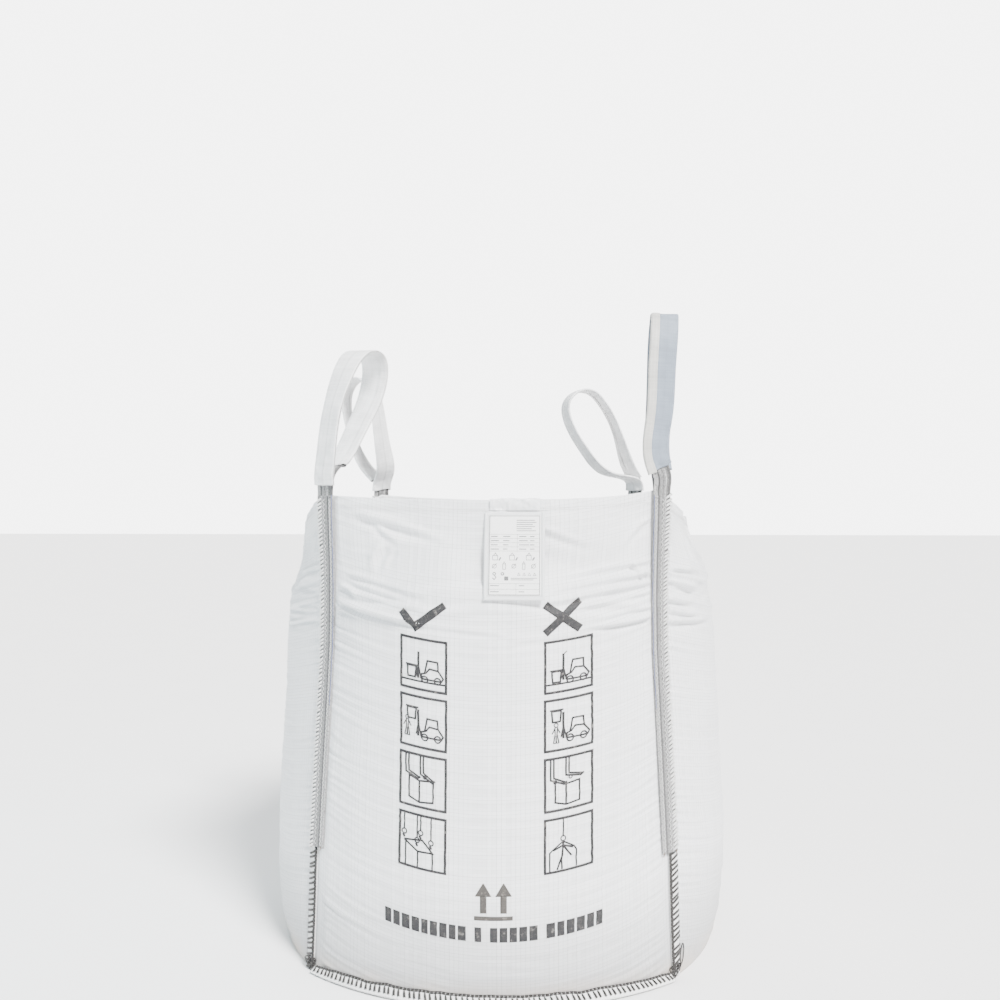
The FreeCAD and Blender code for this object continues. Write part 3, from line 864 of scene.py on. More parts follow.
def strap_stitches(corner):
    face = layer(1)[1] + 0.0007
    lines = []
    for across, swing, pitch in ((-0.017, 0.0022, 0.0050), (0.003, 0.0030, 0.0062)):
        heights = np.arange(LEG_BOTTOM + 0.006, LEG_TOP - 0.006, pitch)
        side = np.where(np.arange(len(heights)) % 2 == 0, -swing, swing)
        for k in range(len(heights) - 1):
            z = np.linspace(heights[k], heights[k + 1], 4)
            a = across + np.linspace(side[k], side[k + 1], 4)
            lines.append(corner_point(corner, z, a, face + 0.0003 * np.sin(np.linspace(0, math.pi, 4))))
    obj = tubes(corner + "_strap_stitches", lines, 0.0006, WHITE_THREAD)
    place(obj, "bag", "white_thread", corner + "_strap_stitching")


def marker_thread(corner):
    """Coloured edge yarn of the webbing, and the cut thread ends at its foot."""
    face = layer(1)[1]
    heights = np.arange(0.62, LEG_TOP, 0.006)
    across = -WEBBING_WIDTH / 2 + 0.0012 + 0.0004 * np.sin(heights * 90)
    lines = [corner_point(corner, heights, across, face - 0.0001)]
    obj = tubes(corner + "_edge_yarn", lines, 0.0008, BLUE_THREAD)
    place(obj, "bag", "webbing")
    rng = np.random.default_rng(len(corner))
    tails = []
    for across in (-0.021, 0.020):
        reach = np.linspace(0, 1, 6)
        drop = LEG_BOTTOM + 0.004 - 0.010 * reach
        aside = across + 0.004 * reach * rng.uniform(-1, 1)
        tails.append(corner_point(corner, drop, aside, face + 0.0008 * (1 - reach)))
    obj = tubes(corner + "_thread_ends", tails, 0.0009, BROWN_THREAD)
    place(obj, "bag", "white_thread")


for corner_name in CORNERS:
    seam_allowance(corner_name)
    strap_leg(corner_name, 0, "inner_leg")
    strap_leg(corner_name, 1, "outer_leg")
    lower_threads(corner_name)
    upper_threads(corner_name)
    strap_stitches(corner_name)
    marker_thread(corner_name)


# ---------------------------------------------------------------- bottom seams, front and rear

def flange_point(side, x, share, lift=0.0):
    """Bottom seam allowance: share 0 is its root on the wall, 1 its overlocked edge on the floor."""
    half = corner_at(0.0) + 0.0120 * share
    middle = middle_at(0.0) + 0.022 * share + 0.006 * (1 - share)
    rise = middle - half
    radius = (half ** 2 + rise ** 2) / (2 * rise)
    angle = np.arcsin(np.clip(half / radius, -1, 1)) * x
    out = radius * 1.0 + lift
    px = out * np.sin(angle)
    py = radius - middle - out * np.cos(angle)
    wave = 0.0026 * drift(x, x, 0.11, 9.0, 91) + 0.0012 * drift(x, x, 0.04, 9.0, 92)
    root = 0.0225 - 0.010 * np.abs(x) ** 5 + wave
    pz = root * (1 - share) ** 0.8 + 0.0042
    return about_z(np.stack(np.broadcast_arrays(px, py, pz), axis=-1), SIDES[side])


def bottom_seam(side):
    x = np.linspace(-0.985, 0.985, 260)
    share = np.linspace(0, 1, 9)
    outer = flange_point(side, x[:, None], share[None, :], 0.0013)
    inner = flange_point(side, x[:, None], share[None, ::-1], -0.0008)
    rings = np.concatenate((outer, inner), axis=1)
    us = np.concatenate((share, share[::-1])) * 0.03
    obj = sweep(side + "_bottom_allowance", rings, us, x * 0.5, SEAM_LOOK)
    place(obj, "bag", "woven_fabric", side + "_bottom_seam")


def bottom_threads(side):
    """Overlock bars down the allowance, and the double row of needle stitches along its root."""
    rng = np.random.default_rng(17 + len(side))
    lines, radii = [], []
    for x in np.arange(-0.97, 0.97, 0.0265):
        slant = 0.016 + rng.uniform(-0.003, 0.003)
        at = x + rng.uniform(-0.003, 0.003)
        share = np.array((0.24, 0.45, 0.75, 0.98, 1.02))
        xs = at + slant * np.array((0, 0.3, 0.65, 1.0, 1.0))
        lines.append(flange_point(side, xs, share, np.array((0.0018, 0.0028, 0.0028, 0.0022, 0.0004))))
    radii += [0.0028] * len(lines)
    rows = []
    for root, lift in ((0.02, 0.0022), (0.13, 0.0026)):
        for x in np.arange(-0.98, 0.975, 0.0200):
            xs = np.linspace(x, x + 0.0190, 5)
            rows.append(flange_point(side, xs, root, lift + 0.0005 * np.sin(np.linspace(0, math.pi, 5))))
    radii += [0.0017] * len(rows)
    obj = tubes(side + "_bottom_overlock", lines + rows, radii, BLACK_THREAD)
    place(obj, "bag", "black_thread", side + "_bottom_seam_thread")


for side_name in ("front", "rear"):
    bottom_seam(side_name)
    bottom_threads(side_name)


# ---------------------------------------------------------------- loops

def spline_through(points, count):
    """Evenly spaced points and tangents on the natural cubic spline through points."""
    points = np.asarray(points, float)
    knots = np.concatenate(([0], np.cumsum(np.linalg.norm(np.diff(points, axis=0), axis=1))))
    n = len(points)
    gap = np.diff(knots)
    system, right = np.eye(n), np.zeros((n, 3))
    for k in range(1, n - 1):
        system[k, k - 1:k + 2] = gap[k - 1], 2 * (gap[k - 1] + gap[k]), gap[k]
        right[k] = 6 * ((points[k + 1] - points[k]) / gap[k] - (points[k] - points[k - 1]) / gap[k - 1])
    second = np.linalg.solve(system, right)
    fine = np.linspace(0, knots[-1], 1200)
    k = np.clip(np.searchsorted(knots, fine, side="right") - 1, 0, n - 2)
    a, b, h = (knots[k + 1] - fine)[:, None], (fine - knots[k])[:, None], gap[k][:, None]
    curve = (second[k] * a ** 3 + second[k + 1] * b ** 3) / (6 * h)
    curve += (points[k] / h - second[k] * h / 6) * a + (points[k + 1] / h - second[k + 1] * h / 6) * b
    length = np.concatenate(([0], np.cumsum(np.linalg.norm(np.diff(curve, axis=0), axis=1))))
    even = np.linspace(0, length[-1], count)
    line = np.stack([np.interp(even, length, curve[:, axis]) for axis in range(3)], axis=-1)
    return line, unit(np.gradient(line, axis=0)), even


def loop_frames(corner, count):
    """Stations along a loop: point, width direction, normal and distance from its start."""
    line, turns = LOOPS[corner]
    feet = []
    for index in (1, 0):
        depth = sum(layer(index)) / 2
        foot = corner_point(corner, LEG_TOP, 0.0, depth)
        out = unit(corner_point(corner, LEG_TOP, 0.0, 1.0) - corner_point(corner, LEG_TOP, 0.0, 0.0))
        spread = 0.0025 if index else -0.0025
        feet.append([foot + (0, 0, h) + out * s for h, s in ((-0.008, 0), (0.014, 0), (0.036, spread))])
    route = feet[0] + [np.array(p) for p in line] + feet[1][::-1]
    points, tangent, along = spline_through(route, count)
    share = along / along[-1]
    turn = np.radians(np.interp(share, (0, 0.25, 0.5, 0.75, 1), (*turns, turns[0])))
    kernel = np.hanning(count // 8 | 1)
    padded = np.pad(turn, len(kernel) // 2, mode="edge")
    turn = np.convolve(padded, kernel / kernel.sum(), "valid")
    wide = np.stack((np.cos(turn), np.sin(turn), np.zeros(count)), axis=-1)
    wide = unit(wide - tangent * np.sum(wide * tangent, axis=-1, keepdims=True))
    return points, wide, np.cross(tangent, wide), along


def loop_webbing(corner):
    points, wide, normal, along = loop_frames(corner, 220)
    half = WEBBING_WIDTH / 2 - 0.0003
    across, depth = slab_profile(-half, half, 0.0002 - WEBBING_THICK / 2, WEBBING_THICK / 2 - 0.0002, 40,
                                 webbing_ribs)
    rings = points[:, None] + wide[:, None] * across[None, :, None] + normal[:, None] * depth[None, :, None]
    obj = sweep(corner + "_free_webbing", rings, across, along + LEG_TOP, WEB_LOOK)
    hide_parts(corner + "_loop_webbing")
    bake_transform(obj)


# For each sleeve: its cloth, the face that the flap lies on (1 is inside the loop), the edge it starts from,
# and how far above the rim its two ends are.
SLEEVES = {
    "front_left": (WHITE_SLEEVE, 1, -1, 0.020, 0.085),
    "front_right": (PAINTED_SHADE_SLEEVE, -1, 1, 0.060, 0.060),
    "rear_right": (WHITE_SLEEVE, -1, 1, 0.052, 0.016),
    "rear_left": (WHITE_SLEEVE, -1, -1, 0.052, 0.018),
}


def wrap_path(width, thick, flap, count):
    """Cross-section of the sleeve: once round the webbing and over itself."""
    half, t = width / 2, thick / 2
    corners = [(-half + flap - 0.008, t), (half - 0.003, t), (half, 0.0), (half - 0.003, -t),
               (-half + 0.003, -t), (-half, 0.0), (-half + 0.003, t + 0.0009), (-half + flap, t + 0.0011)]
    corners = np.array(corners)
    length = np.concatenate(([0], np.cumsum(np.linalg.norm(np.diff(corners, axis=0), axis=1))))
    even = np.linspace(0, length[-1], count)
    return np.stack([np.interp(even, length, corners[:, k]) for k in (0, 1)], axis=-1), even


def loop_sleeve(corner, seed):
    count = 240
    look, face, hand, first, last = SLEEVES[corner]
    points, wide, normal, along = loop_frames(corner, count)
    inside = (along > first + 0.008) & (along < along[-1] - last - 0.008)
    points, wide, normal, along = (v[inside] for v in (points, wide * hand, normal * face, along))
    section, around = wrap_path(SLEEVE_WIDTH, SLEEVE_THICK, SLEEVE_FLAP, 64)
    rows = len(points)
    span = along[-1] - along[0]
    from_end = np.minimum(along - along[0], along[-1] - along)[:, None]
    s, a = np.meshgrid(along, around, indexing="ij")
    crumple = 0.35 + 1.6 * np.exp(-from_end / 0.045)
    puff = crumple * (0.0019 * drift(a, s, 0.026, 0.034, seed) + 0.0009 * drift(a, s, 0.011, 0.013, seed + 1))
    puff = np.maximum(puff, SLEEVE_DIP)
    flare = 1 + 0.05 * np.exp(-from_end / 0.012)
    flat, raised = section[None, :, 0], section[None, :, 1]
    sway = 0.0012 * crumple * drift(s, s, 0.06, 1.0, seed + 2)
    across = flat * flare + sway * np.sign(flat)
    from_edge = step(0, 0.006, SLEEVE_WIDTH / 2 - np.abs(flat))
    depth = raised + np.sign(raised) * (puff + 0.0006) * from_edge
    rings = points[:, None] + wide[:, None] * across[..., None] + normal[:, None] * depth[..., None]
    tangent = unit(np.gradient(points, axis=0))
    ragged = 0.0016 * drift(a, a, 0.007, 1.0, seed + 3) + 0.004 * drift(a, a, 0.045, 1.0, seed + 4)
    pull = np.where(s - along[0] < span / 2, -1.0, 1.0) * np.exp(-from_end / 0.010)
    rings = rings + tangent[:, None] * (ragged * pull)[..., None]
    uvs = np.stack((a, s), axis=-1)
    obj = add_mesh(corner + "_sleeve", rings, grid_faces(rows, len(around)), uvs, look)
    thicken(obj, 0.0007, 0.0)
    place(obj, corner + "_loop", "sleeve_fabric", corner + "_loop_sleeve")


for number, corner_name in enumerate(CORNERS):
    loop_webbing(corner_name)
    loop_sleeve(corner_name, 120 + 10 * number)


# ---------------------------------------------------------------- print on the front panel

class Print:
    """Flat strokes and filled shapes in panel coordinates, laid on a surface as one thin mesh."""

    def __init__(self, pen, longest=0.0035):
        self.pen = pen
        self.longest = longest
        self.points, self.faces = [], []

    def stroke(self, line, closed=False, pen=None):
        pen = pen or self.pen
        line = [np.array(p, float) for p in line]
        if closed:
            line.append(line[0])
        fine = [line[0]]
        for a, b in zip(line, line[1:]):
            pieces = max(1, int(math.ceil(np.linalg.norm(b - a) / self.longest)))
            fine += [a + (b - a) * k / pieces for k in range(1, pieces + 1)]
        fine = np.array(fine)
        ahead = unit(np.diff(fine, axis=0) + 1e-12)
        left = np.stack((-ahead[:, 1], ahead[:, 0]), axis=-1)
        if closed:
            first = last = left[-1] + left[0]
        else:
            first, last = left[0], left[-1]
        side = np.concatenate(([first], left[:-1] + left[1:], [last]))
        side = unit(side)
        reach = np.ones(len(fine))
        reach[:-1] = np.maximum(reach[:-1], 1 / np.clip(np.sum(side[:-1] * left, axis=1), 0.4, 1))
        start = len(self.points)
        for point, s, r in zip(fine, side, reach):
            self.points += [point + s * pen / 2 * r, point - s * pen / 2 * r]
        for k in range(len(fine) - 1):
            n = start + 2 * k
            self.faces.append((n, n + 1, n + 3, n + 2))

    def box(self, x0, z0, x1, z1, pen=None):
        self.stroke(((x0, z0), (x1, z0), (x1, z1), (x0, z1)), closed=True, pen=pen)

    def circle(self, x, z, radius, pen=None):
        turn = np.linspace(0, 2 * math.pi, 20, endpoint=False)
        ring = [(x + radius * math.cos(t), z + radius * math.sin(t)) for t in turn]
        self.stroke(ring, closed=True, pen=pen)

    def quad(self, a, b, c, d):
        """A filled four-sided shape, divided so that it can follow the cloth."""
        a, b, c, d = (np.array(p, float) for p in (a, b, c, d))
        n = max(1, int(math.ceil(max(np.linalg.norm(b - a), np.linalg.norm(c - d)) / self.longest)))
        m = max(1, int(math.ceil(max(np.linalg.norm(d - a), np.linalg.norm(c - b)) / self.longest)))
        start = len(self.points)
        for j in range(m + 1):
            for i in range(n + 1):
                u, v = i / n, j / m
                self.points.append((a * (1 - u) + b * u) * (1 - v) + (d * (1 - u) + c * u) * v)
        for j in range(m):
            for i in range(n):
                k = start + j * (n + 1) + i
                self.faces.append((k, k + 1, k + n + 2, k + n + 1))

    def build(self, name, surface, material, thickness=0.00018):
        flat = np.array(self.points)
        obj = add_mesh(name, surface(flat[:, 0], flat[:, 1]), self.faces, flat, material)
        return thicken(obj, thickness, 1.0)


def on_front(x, z):
    """The cloth's own horizontal lines rise towards the corners, and the print with them."""
    return WALLS["front"].at(x, z + CLOTH_RISE * (x - PRINT_MIDDLE) ** 2, 0.0006)


def scaled(x, z, width, height):
    """Turns unit drawing coordinates, -0.5 to 0.5 each way, into panel coordinates."""
    return lambda points: [(x + px * width, z + pz * height) for px, pz in points]


def lift_truck(ink, at, load):
    """A plain counterbalance truck, seen from the side, with a small bag on its forks at height load."""
    ink.stroke(at(((-0.06, -0.30), (-0.04, -0.20), (0.06, -0.17), (0.14, -0.07), (0.34, -0.09), (0.46, -0.24),
                   (0.42, -0.31), (-0.06, -0.30))))
    ink.stroke(at(((0.03, -0.17), (0.09, 0.10), (0.33, 0.09), (0.34, -0.09))))
    for x in (0.03, 0.33):
        ink.circle(*at([(x, -0.31)])[0], 0.0070, pen=0.0032)
    ink.stroke(at(((-0.12, -0.30), (-0.12, 0.26))), pen=0.0050)
    ink.stroke(at(((-0.17, -0.27), (-0.12, -0.02), (-0.06, -0.26))), pen=0.0030)
    ink.stroke(at(((-0.12, load), (-0.42, load))), pen=0.0034)
    ink.stroke(at(((-0.38, load - 0.02), (-0.36, load - 0.25), (-0.19, load - 0.25),
                   (-0.17, load - 0.02))), closed=True)


def ground(ink, at):
    ink.stroke(at(((-0.52, -0.37), (0.52, -0.37))))


def person(ink, at, x, head):
    """A plain outlined figure."""
    ink.circle(*at([(x, head)])[0], 0.0042, pen=0.0020)
    shoulder, hand, hip, foot = head - 0.05, head - 0.18, head - 0.19, head - 0.38
    for side in (-1, 1):
        ink.stroke(at(((x + 0.02 * side, shoulder), (x + 0.09 * side, hand))), pen=0.0022)
        limb = ((x + 0.03 * side, shoulder), (x + 0.02 * side, hip), (x + 0.06 * side, foot))
        ink.stroke(at(limb), pen=0.0024)
        ink.stroke(at(((x + 0.06 * side, foot), (x + 0.01 * side, foot), (x, hip - 0.03))), pen=0.0018)


def crate(ink, at, left, front, right, top, bottom, rise):
    """An open bag seen from a corner: two walls, and the far rim."""
    ink.stroke(at(((left, top + rise), (left, bottom + rise), (front, bottom), (right, bottom + rise / 2),
                   (right, top + rise / 2), (front, top), (left, top + rise))))
    ink.stroke(at(((front, top), (front, bottom))))


def tine(ink, at, x, z, reach, drop):
    """A fork tine that comes down from above and runs under the loops."""
    for gap in (0.0, 0.07):
        end = (x + reach + gap * 0.4, z - drop + gap * 0.5)
        ink.stroke(at(((x + gap, 0.54), (x + gap, z + gap * 0.5), end)))
    ink.stroke(at(((x + reach - 0.02, z - drop - 0.01), (x + reach + 0.06, z - drop + 0.05))), pen=0.0040)
    ink.circle(*at([(x + 0.10, z - 0.05)])[0], 0.0034, pen=0.0022)


def hook(ink, at, x, z):
    """A rope from above, ending in a ring with a block under it."""
    ink.stroke(at(((x, 0.54), (x, z + 0.06))), pen=0.0032)
    ink.circle(*at([(x, z + 0.02)])[0], 0.0052, pen=0.0026)
    ink.stroke(at(((x - 0.03, z - 0.04), (x + 0.01, z - 0.10))), pen=0.0046)


def picture_low_truck(ink, at):
    lift_truck(ink, at, -0.04)
    ground(ink, at)


def picture_leaning_truck(ink, at):
    lift_truck(ink, at, -0.08)
    ground(ink, at)
    ink.stroke(at(((-0.12, 0.24), (-0.04, 0.30))), pen=0.0024)


def picture_person_clear(ink, at):
    lift_truck(ink, at, 0.30)
    person(ink, at, -0.38, 0.05)


def picture_person_under(ink, at):
    lift_truck(ink, at, 0.32)
    person(ink, at, -0.28, 0.00)


def picture_two_tines(ink, at):
    crate(ink, at, -0.32, -0.08, 0.24, 0.00, -0.44, 0.08)
    tine(ink, at, -0.40, 0.14, 0.28, 0.10)
    tine(ink, at, -0.06, 0.14, 0.28, 0.14)


def picture_crossed_tines(ink, at):
    crate(ink, at, -0.30, -0.06, 0.24, -0.02, -0.44, 0.07)
    tine(ink, at, -0.40, 0.10, 0.30, 0.12)
    tine(ink, at, -0.06, 0.16, 0.34, 0.06)


def picture_four_hooks(ink, at):
    for x, z in ((-0.42, 0.12), (-0.12, 0.00), (-0.04, 0.16), (0.20, 0.00)):
        hook(ink, at, x, z)
    ink.stroke(at(((-0.42, -0.02), (-0.10, -0.20), (0.24, -0.18), (0.00, 0.04), (-0.42, -0.02))))
    for x, z in ((-0.38, -0.04), (-0.10, -0.20), (0.24, -0.18)):
        ink.stroke(at(((x, z), (x, -0.52))), pen=0.0034)


def picture_one_hook(ink, at):
    hook(ink, at, -0.12, 0.10)
    ink.stroke(at(((-0.42, -0.52), (-0.42, -0.14), (-0.34, -0.08), (-0.12, 0.06), (0.12, -0.08),
                   (0.17, -0.16),
                   (0.17, -0.50))), pen=0.0032)
    ink.stroke(at(((-0.34, -0.10), (-0.12, -0.02), (0.10, -0.10))))
    ink.stroke(at(((-0.12, 0.04), (-0.14, -0.22), (-0.26, -0.50))))
    ink.stroke(at(((-0.12, -0.02), (-0.16, -0.30), (-0.15, -0.50))))
    ink.stroke(at(((-0.12, -0.02), (-0.02, -0.16), (0.06, -0.26))))


FRAME_WIDTH = 0.103
FRAME_GAP_BELOW, FRAME_GAP_ABOVE = 0.003, 0.0125
MARK_PEN = 0.017
FRAME_ROWS = ((0.733, 0.125), (0.607, 0.124), (0.480, 0.127), (0.350, 0.128))
LEFT_COLUMN = -0.142
RIGHT_COLUMN = 0.177
MARK_START, MARK_HEIGHT = -0.1095, 0.832
ARROW_MIDDLE = PRINT_MIDDLE
LEFT_PICTURES = (picture_low_truck, picture_person_clear, picture_two_tines, picture_four_hooks)
RIGHT_PICTURES = (picture_leaning_truck, picture_person_under, picture_crossed_tines, picture_one_hook)


def printed_frames():
    columns = (("left", LEFT_COLUMN, LEFT_PICTURES), ("right", RIGHT_COLUMN, RIGHT_PICTURES))
    for name, centre, pictures in columns:
        ink = Print(0.0038)
        for (z, height), picture in zip(FRAME_ROWS, pictures):
            low, high = z - height / 2 + FRAME_GAP_BELOW, z + height / 2 - FRAME_GAP_ABOVE
            ink.box(centre - FRAME_WIDTH / 2, low, centre + FRAME_WIDTH / 2, high, pen=0.0055)
            picture(ink, scaled(centre, (low + high) / 2, FRAME_WIDTH * 0.95, (high - low) * 0.93))
        obj = ink.build(f"print_{name}_column", on_front, INK)
        place(obj, "bag", "black_thread")


def printed_marks():
    """A tick above the left column, a cross above the right, and a this-way-up mark below."""
    ink = Print(MARK_PEN)
    for line in (((-0.078, 0.000), (-0.052, -0.024), (0.008, 0.026)), ((0.241, 0.028), (0.305, -0.024)),
                 ((0.241, -0.024), (0.305, 0.028))):
        for (x0, z0), (x1, z1) in zip(line, line[1:]):
            long = math.hypot(x1 - x0, z1 - z0)
            ax, az = (x1 - x0) / long * MARK_PEN / 2, (z1 - z0) / long * MARK_PEN / 2
            dx, dz = -az, ax
            x0, x1 = x0 + MARK_START - ax, x1 + MARK_START + ax
            z0, z1 = z0 + MARK_HEIGHT - az, z1 + MARK_HEIGHT + az
            ink.quad((x0 - dx, z0 - dz), (x1 - dx, z1 - dz), (x1 + dx, z1 + dz), (x0 + dx, z0 + dz))
    place(ink.build("print_tick_and_cross", on_front, INK), "bag", "black_thread")
    arrows = Print(0.010)
    for x in (ARROW_MIDDLE - 0.022, ARROW_MIDDLE + 0.022):
        arrows.quad((x - 0.007, 0.212), (x + 0.007, 0.212), (x + 0.007, 0.248), (x - 0.007, 0.248))
        arrows.quad((x - 0.018, 0.248), (x + 0.018, 0.248), (x + 0.001, 0.276), (x - 0.001, 0.276))
    low, high = ARROW_MIDDLE - 0.042, ARROW_MIDDLE + 0.042
    arrows.quad((low, 0.196), (high, 0.196), (high, 0.205), (low, 0.205))
    place(arrows.build("print_this_way_up", on_front, SOFT_INK), "bag", "black_thread")


def printed_line():
    """A row of plain blocks where the bag carries a line of words."""
    rng = np.random.default_rng(3)
    ink = Print(0.004)
    x = -0.2275
    words = (9, 1, 5, 6)
    block, space, word_gap = 0.0165, 0.0048, 0.0140
    low, high = 0.1495, 0.1810
    for count in words:
        for _ in range(count):
            wide = block * rng.uniform(0.85, 1.15)
            ink.quad((x, low), (x + wide, low), (x + wide, high), (x, high))
            x += wide + space
        x += word_gap
    place(ink.build("print_plain_blocks", on_front, INK), "bag", "black_thread")


printed_frames()
printed_marks()
printed_line()


# ---------------------------------------------------------------- document pouch

def pouch_point(across, drop, out):
    """A point on the hanging pouch: across from its middle, drop below its hinge line, out from its plane."""
    across, drop, out = np.broadcast_arrays(*(np.asarray(v, float) for v in (across, drop, out)))
    down = np.array((0.0, -math.sin(POUCH_SLOPE), -math.cos(POUCH_SLOPE)))
    face = np.array((0.0, -math.cos(POUCH_SLOPE), math.sin(POUCH_SLOPE)))
    side = np.array((1.0, 0.0, 0.0))
    return (np.array(POUCH_HINGE) + across[..., None] * side + drop[..., None] * down + out[..., None] * face)


def pouch_sheet(name, out, crinkle, seed, material, cut=None):
    across = np.linspace(-0.067, 0.067, 68)
    drop = np.linspace(0.002, 0.202, 100)
    a, d = np.meshgrid(across, drop)
    inside = step(0.0, 0.016, 0.067 - np.abs(a)) * step(0.0, 0.016, 0.202 - d)
    wave = crinkle * (drift(a, d, 0.030, 0.040, seed) + 0.4 * drift(a, d, 0.012, 0.015, seed + 1))
    points = pouch_point(a, d, out * inside + wave * (0.3 + 0.7 * inside))
    return add_mesh(name, points, grid_faces(100, 68), np.stack((a, d), -1), material)


def pouch():
    front_sheet = pouch_sheet("pouch_front_film", 0.0014, 0.0006, 201, FILM)
    thicken(front_sheet, 0.0002, 0.0)
    place(front_sheet, "pouch", "clear_film", "document_pouch")
    back_sheet = pouch_sheet("pouch_back_film", -0.0008, 0.0003, 211, WELD)
    thicken(back_sheet, 0.0002, 0.0)
    place(back_sheet, "pouch", "clear_film", "document_pouch")
    welds = Print(0.0070, 0.004)
    welds.stroke(((-0.0635, 0.003), (-0.0635, 0.1985), (0.0635, 0.1985), (0.0635, 0.003)))

    def weld_surface(a, d):
        return pouch_point(a, d, 0.0009 + 0.0003 * drift(a, d, 0.02, 0.02, 9))

    obj = welds.build("pouch_weld_lines", weld_surface, WELD, 0.0003)
    place(obj, "pouch", "clear_film")


def label_surface(lift):
    def surface(a, z):
        drop = -np.asarray(z)
        return pouch_point(a, drop, lift + 0.0004 * drift(a, drop, 0.05, 0.07, 205))
    return surface


def label_sheet():
    sheet = Print(0.001, 0.004)
    sheet.quad((-0.058, -0.192), (0.058, -0.192), (0.058, -0.010), (-0.058, -0.010))
    obj = sheet.build("label_paper", label_surface(0.0), PAPER, 0.0002)
    place(obj, "pouch", "label_paper", "document_label")


def label_print():
    """Border, ruled table, greeked lines and small generic symbols."""
    ink = Print(0.0012, 0.006)
    low, high, left, right = -0.190, -0.012, -0.0555, 0.0555
    ink.box(left, low, right, high, pen=0.0014)
    for k in range(6):
        wide = (0.040, 0.044, 0.036, 0.041, 0.034, 0.043)[k]
        ink.stroke(((0.004, -0.022 - 0.0048 * k), (0.004 + wide, -0.022 - 0.0048 * k)), pen=0.0016)
    for k in range(5):
        z = -0.054 - 0.0095 * k
        ink.stroke(((left, z), (right, z)), pen=0.0006)
    for k in range(4):
        z = -0.0590 - 0.0095 * k
        ink.stroke(((left + 0.003, z), (left + 0.018 + 0.003 * (k % 2), z)), pen=0.0020)
        ink.stroke(((left + 0.030, z), (left + 0.046 - 0.002 * k, z)), pen=0.0020)
        ink.stroke(((0.010, z), (0.026 + 0.003 * (k % 3), z)), pen=0.0020)
        ink.stroke(((0.034, z), (0.044, z)), pen=0.0020)
    ink.stroke(((0.006, -0.054), (0.006, -0.092)), pen=0.0006)
    for k in range(3):
        x = -0.042 + 0.037 * k
        ink.box(x - 0.006, -0.112, x + 0.005, -0.102)
        ink.stroke(((x - 0.004, -0.102), (x, -0.096), (x + 0.004, -0.102)))
        ink.stroke(((x + 0.008, -0.113), (x + 0.012, -0.106)), pen=0.003)
    for k in range(5):
        x = -0.044 + 0.0215 * k
        if k % 2:
            ink.box(x - 0.0030, -0.133, x + 0.0030, -0.121)
            ink.stroke(((x - 0.003, -0.121), (x, -0.116), (x + 0.003, -0.121)))
        else:
            ink.circle(x, -0.126, 0.0045)
            ink.stroke(((x - 0.005, -0.131), (x + 0.005, -0.120)))
    ink.circle(-0.044, -0.143, 0.0030, pen=0.0018)
    ink.stroke(((-0.044, -0.146), (-0.040, -0.151), (-0.044, -0.156), (-0.048, -0.152)), pen=0.0018)
    ink.circle(-0.026, -0.143, 0.0028, pen=0.0020)
    ink.quad((-0.022, -0.158), (-0.013, -0.158), (-0.013, -0.149), (-0.022, -0.149))
    for k in range(4):
        x = 0.010 + 0.0115 * k
        ink.stroke(((x - 0.0032, -0.147), (x + 0.0032, -0.147), (x, -0.141)), closed=True, pen=0.0009)
    ink.stroke(((-0.008, -0.153), (0.050, -0.153)), pen=0.0014)
    ink.stroke(((-0.008, -0.1565), (0.042, -0.1565)), pen=0.0014)
    for z in (-0.165, -0.1775):
        ink.stroke(((left, z), (right, z)), pen=0.0006)
    ink.stroke(((0.004, -0.165), (0.004, -0.190)), pen=0.0006)
    for z in (-0.1695, -0.1830):
        ink.stroke(((left + 0.003, z), (left + 0.022, z)), pen=0.0018)
        ink.stroke(((0.010, z), (0.022, z)), pen=0.0018)
    obj = ink.build("label_print", label_surface(0.0003), GREY_INK, 0.0001)
    place(obj, "pouch", "label_paper")


def pouch_header():
    """The crinkled strip of film that is sewn into the hem."""
    low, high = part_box("pouch_header")
    columns, rows = 60, 26
    x = np.linspace(low.x, high.x, columns)
    z = np.linspace(low.z, high.z, rows)
    a, b = np.meshgrid(x, z)
    crinkle = 0.0018 * drift(a, b, 0.014, 0.009, 301) + 0.0012 * drift(a, b, 0.006, 0.006, 302)
    base = WALLS["front"].at(a, b, 0.0030)
    base[..., 1] = np.minimum(base[..., 1], low.y + 0.001) + crinkle
    base[..., 2] = b + 0.002 * drift(a, a, 0.03, 1.0, 303) * step(low.z, high.z, b)
    obj = add_mesh("pouch_header_film", base, grid_faces(rows, columns), np.stack((a, b), -1), WELD)
    thicken(obj, 0.0003, 0.0)
    place(obj, "bag", "clear_film", "pouch_header")


pouch()
label_sheet()
label_print()
pouch_header()


# ---------------------------------------------------------------- floor, light and camera

def floor():
    size = 30.0
    points = [(-size, -size, 0), (size, -size, 0), (size, size, 0), (-size, size, 0)]
    obj = add_mesh("studio_floor", points, [(0, 1, 2, 3)], None, FLOOR_LOOK)


def area_light(name, position, target, size, power, colour):
    light = bpy.data.lights.new(name, "AREA")
    light.shape = "RECTANGLE"
    light.size, light.size_y = size
    light.energy = power
    light.color = colour
    obj = bpy.data.objects.new(name, light)
    obj.location = position
    obj.rotation_euler = (Vector(target) - Vector(position)).to_track_quat("-Z", "Y").to_euler()
    bpy.context.scene.collection.objects.link(obj)


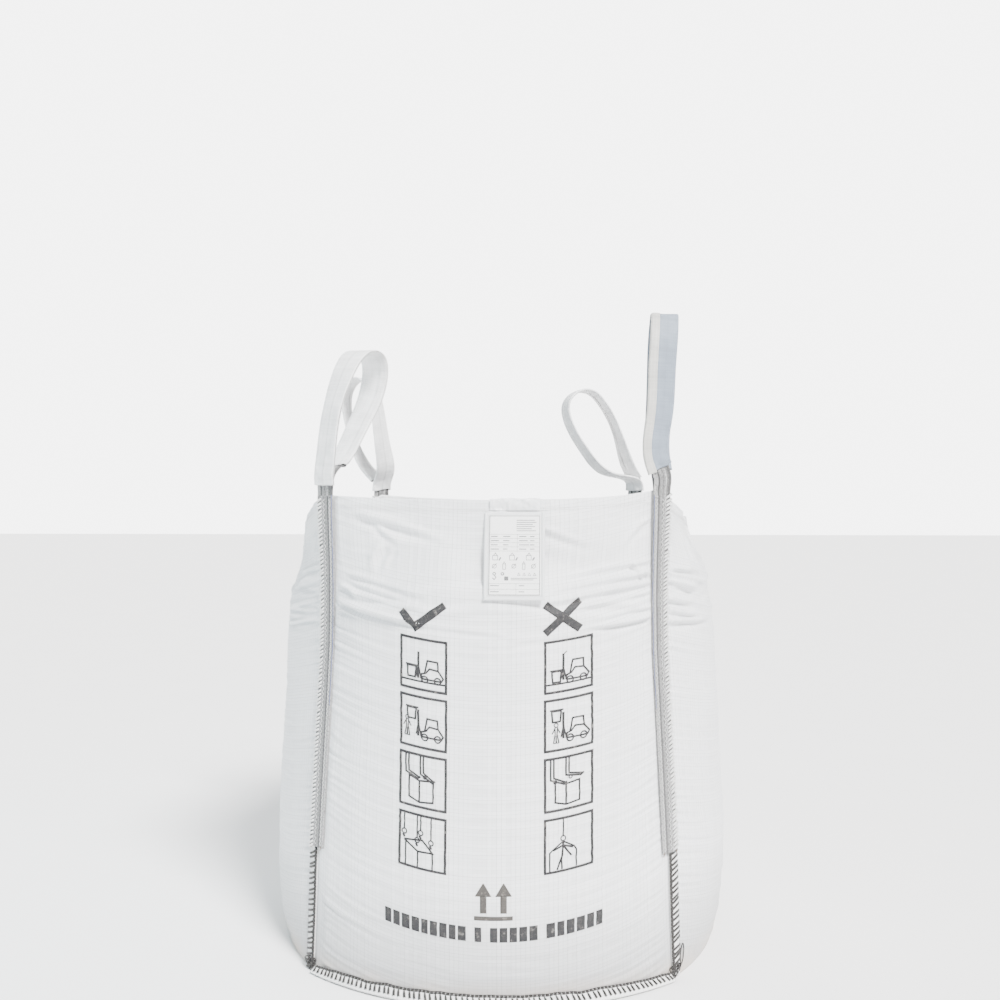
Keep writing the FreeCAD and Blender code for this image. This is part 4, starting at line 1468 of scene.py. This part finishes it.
def sun_light(name, source, power, angle, colour):
    light = bpy.data.lights.new(name, "SUN")
    light.energy = power
    light.angle = angle
    light.color = colour
    obj = bpy.data.objects.new(name, light)
    obj.rotation_euler = Vector(source).to_track_quat("Z", "Y").to_euler()
    bpy.context.scene.collection.objects.link(obj)


BACKDROP_STRENGTH = 6.0


def world():
    """Soft light from all round, stronger from above, in front of an evenly bright backdrop."""
    bpy.context.scene.world = bpy.data.worlds.new("studio")
    bpy.context.scene.world.use_nodes = True
    background = bpy.context.scene.world.node_tree.nodes["Background"]
    nodes, links = bpy.context.scene.world.node_tree.nodes, bpy.context.scene.world.node_tree.links
    height = nodes.new("ShaderNodeSeparateXYZ")
    links.new(nodes.new("ShaderNodeTexCoord").outputs["Generated"], height.inputs[0])
    strength = nodes.new("ShaderNodeMapRange")
    links.new(height.outputs[2], strength.inputs["Value"])
    for key, value in (("From Min", -0.2), ("From Max", 0.9), ("To Min", 0.3), ("To Max", 1.3)):
        strength.inputs[key].default_value = value
    seen = nodes.new("ShaderNodeLightPath").outputs["Is Camera Ray"]
    choice = nodes.new("ShaderNodeMix")
    links.new(seen, choice.inputs["Factor"])
    links.new(strength.outputs[0], choice.inputs["A"])
    choice.inputs["B"].default_value = BACKDROP_STRENGTH
    links.new(choice.outputs["Result"], background.inputs["Strength"])
    background.inputs["Color"].default_value = (1.0, 1.0, 1.0, 1.0)


def camera():
    data = bpy.data.cameras.new("camera")
    data.lens = 37.1
    data.sensor_width = 36.0
    data.clip_end = 100.0
    obj = bpy.data.objects.new("camera", data)
    obj.location = (0.1445, -2.796, 1.10)
    obj.rotation_euler = (math.radians(90), 0, math.radians(3))
    bpy.context.scene.collection.objects.link(obj)
    bpy.context.scene.camera = obj


floor()
world()
sun_light("key", (0.40, -0.56, 0.72), 12.0, 0.3, (1.0, 0.99, 0.98))
sun_light("rear", (-1.0, 2.0, 2.5), 1.2, 0.5, (1.0, 1.0, 1.0))
area_light("left_fill", (-3.0, -1.2, 1.8), (0, 0, 0.6), (1.2, 1.2), 40, (0.45, 0.85, 1.0))
camera()
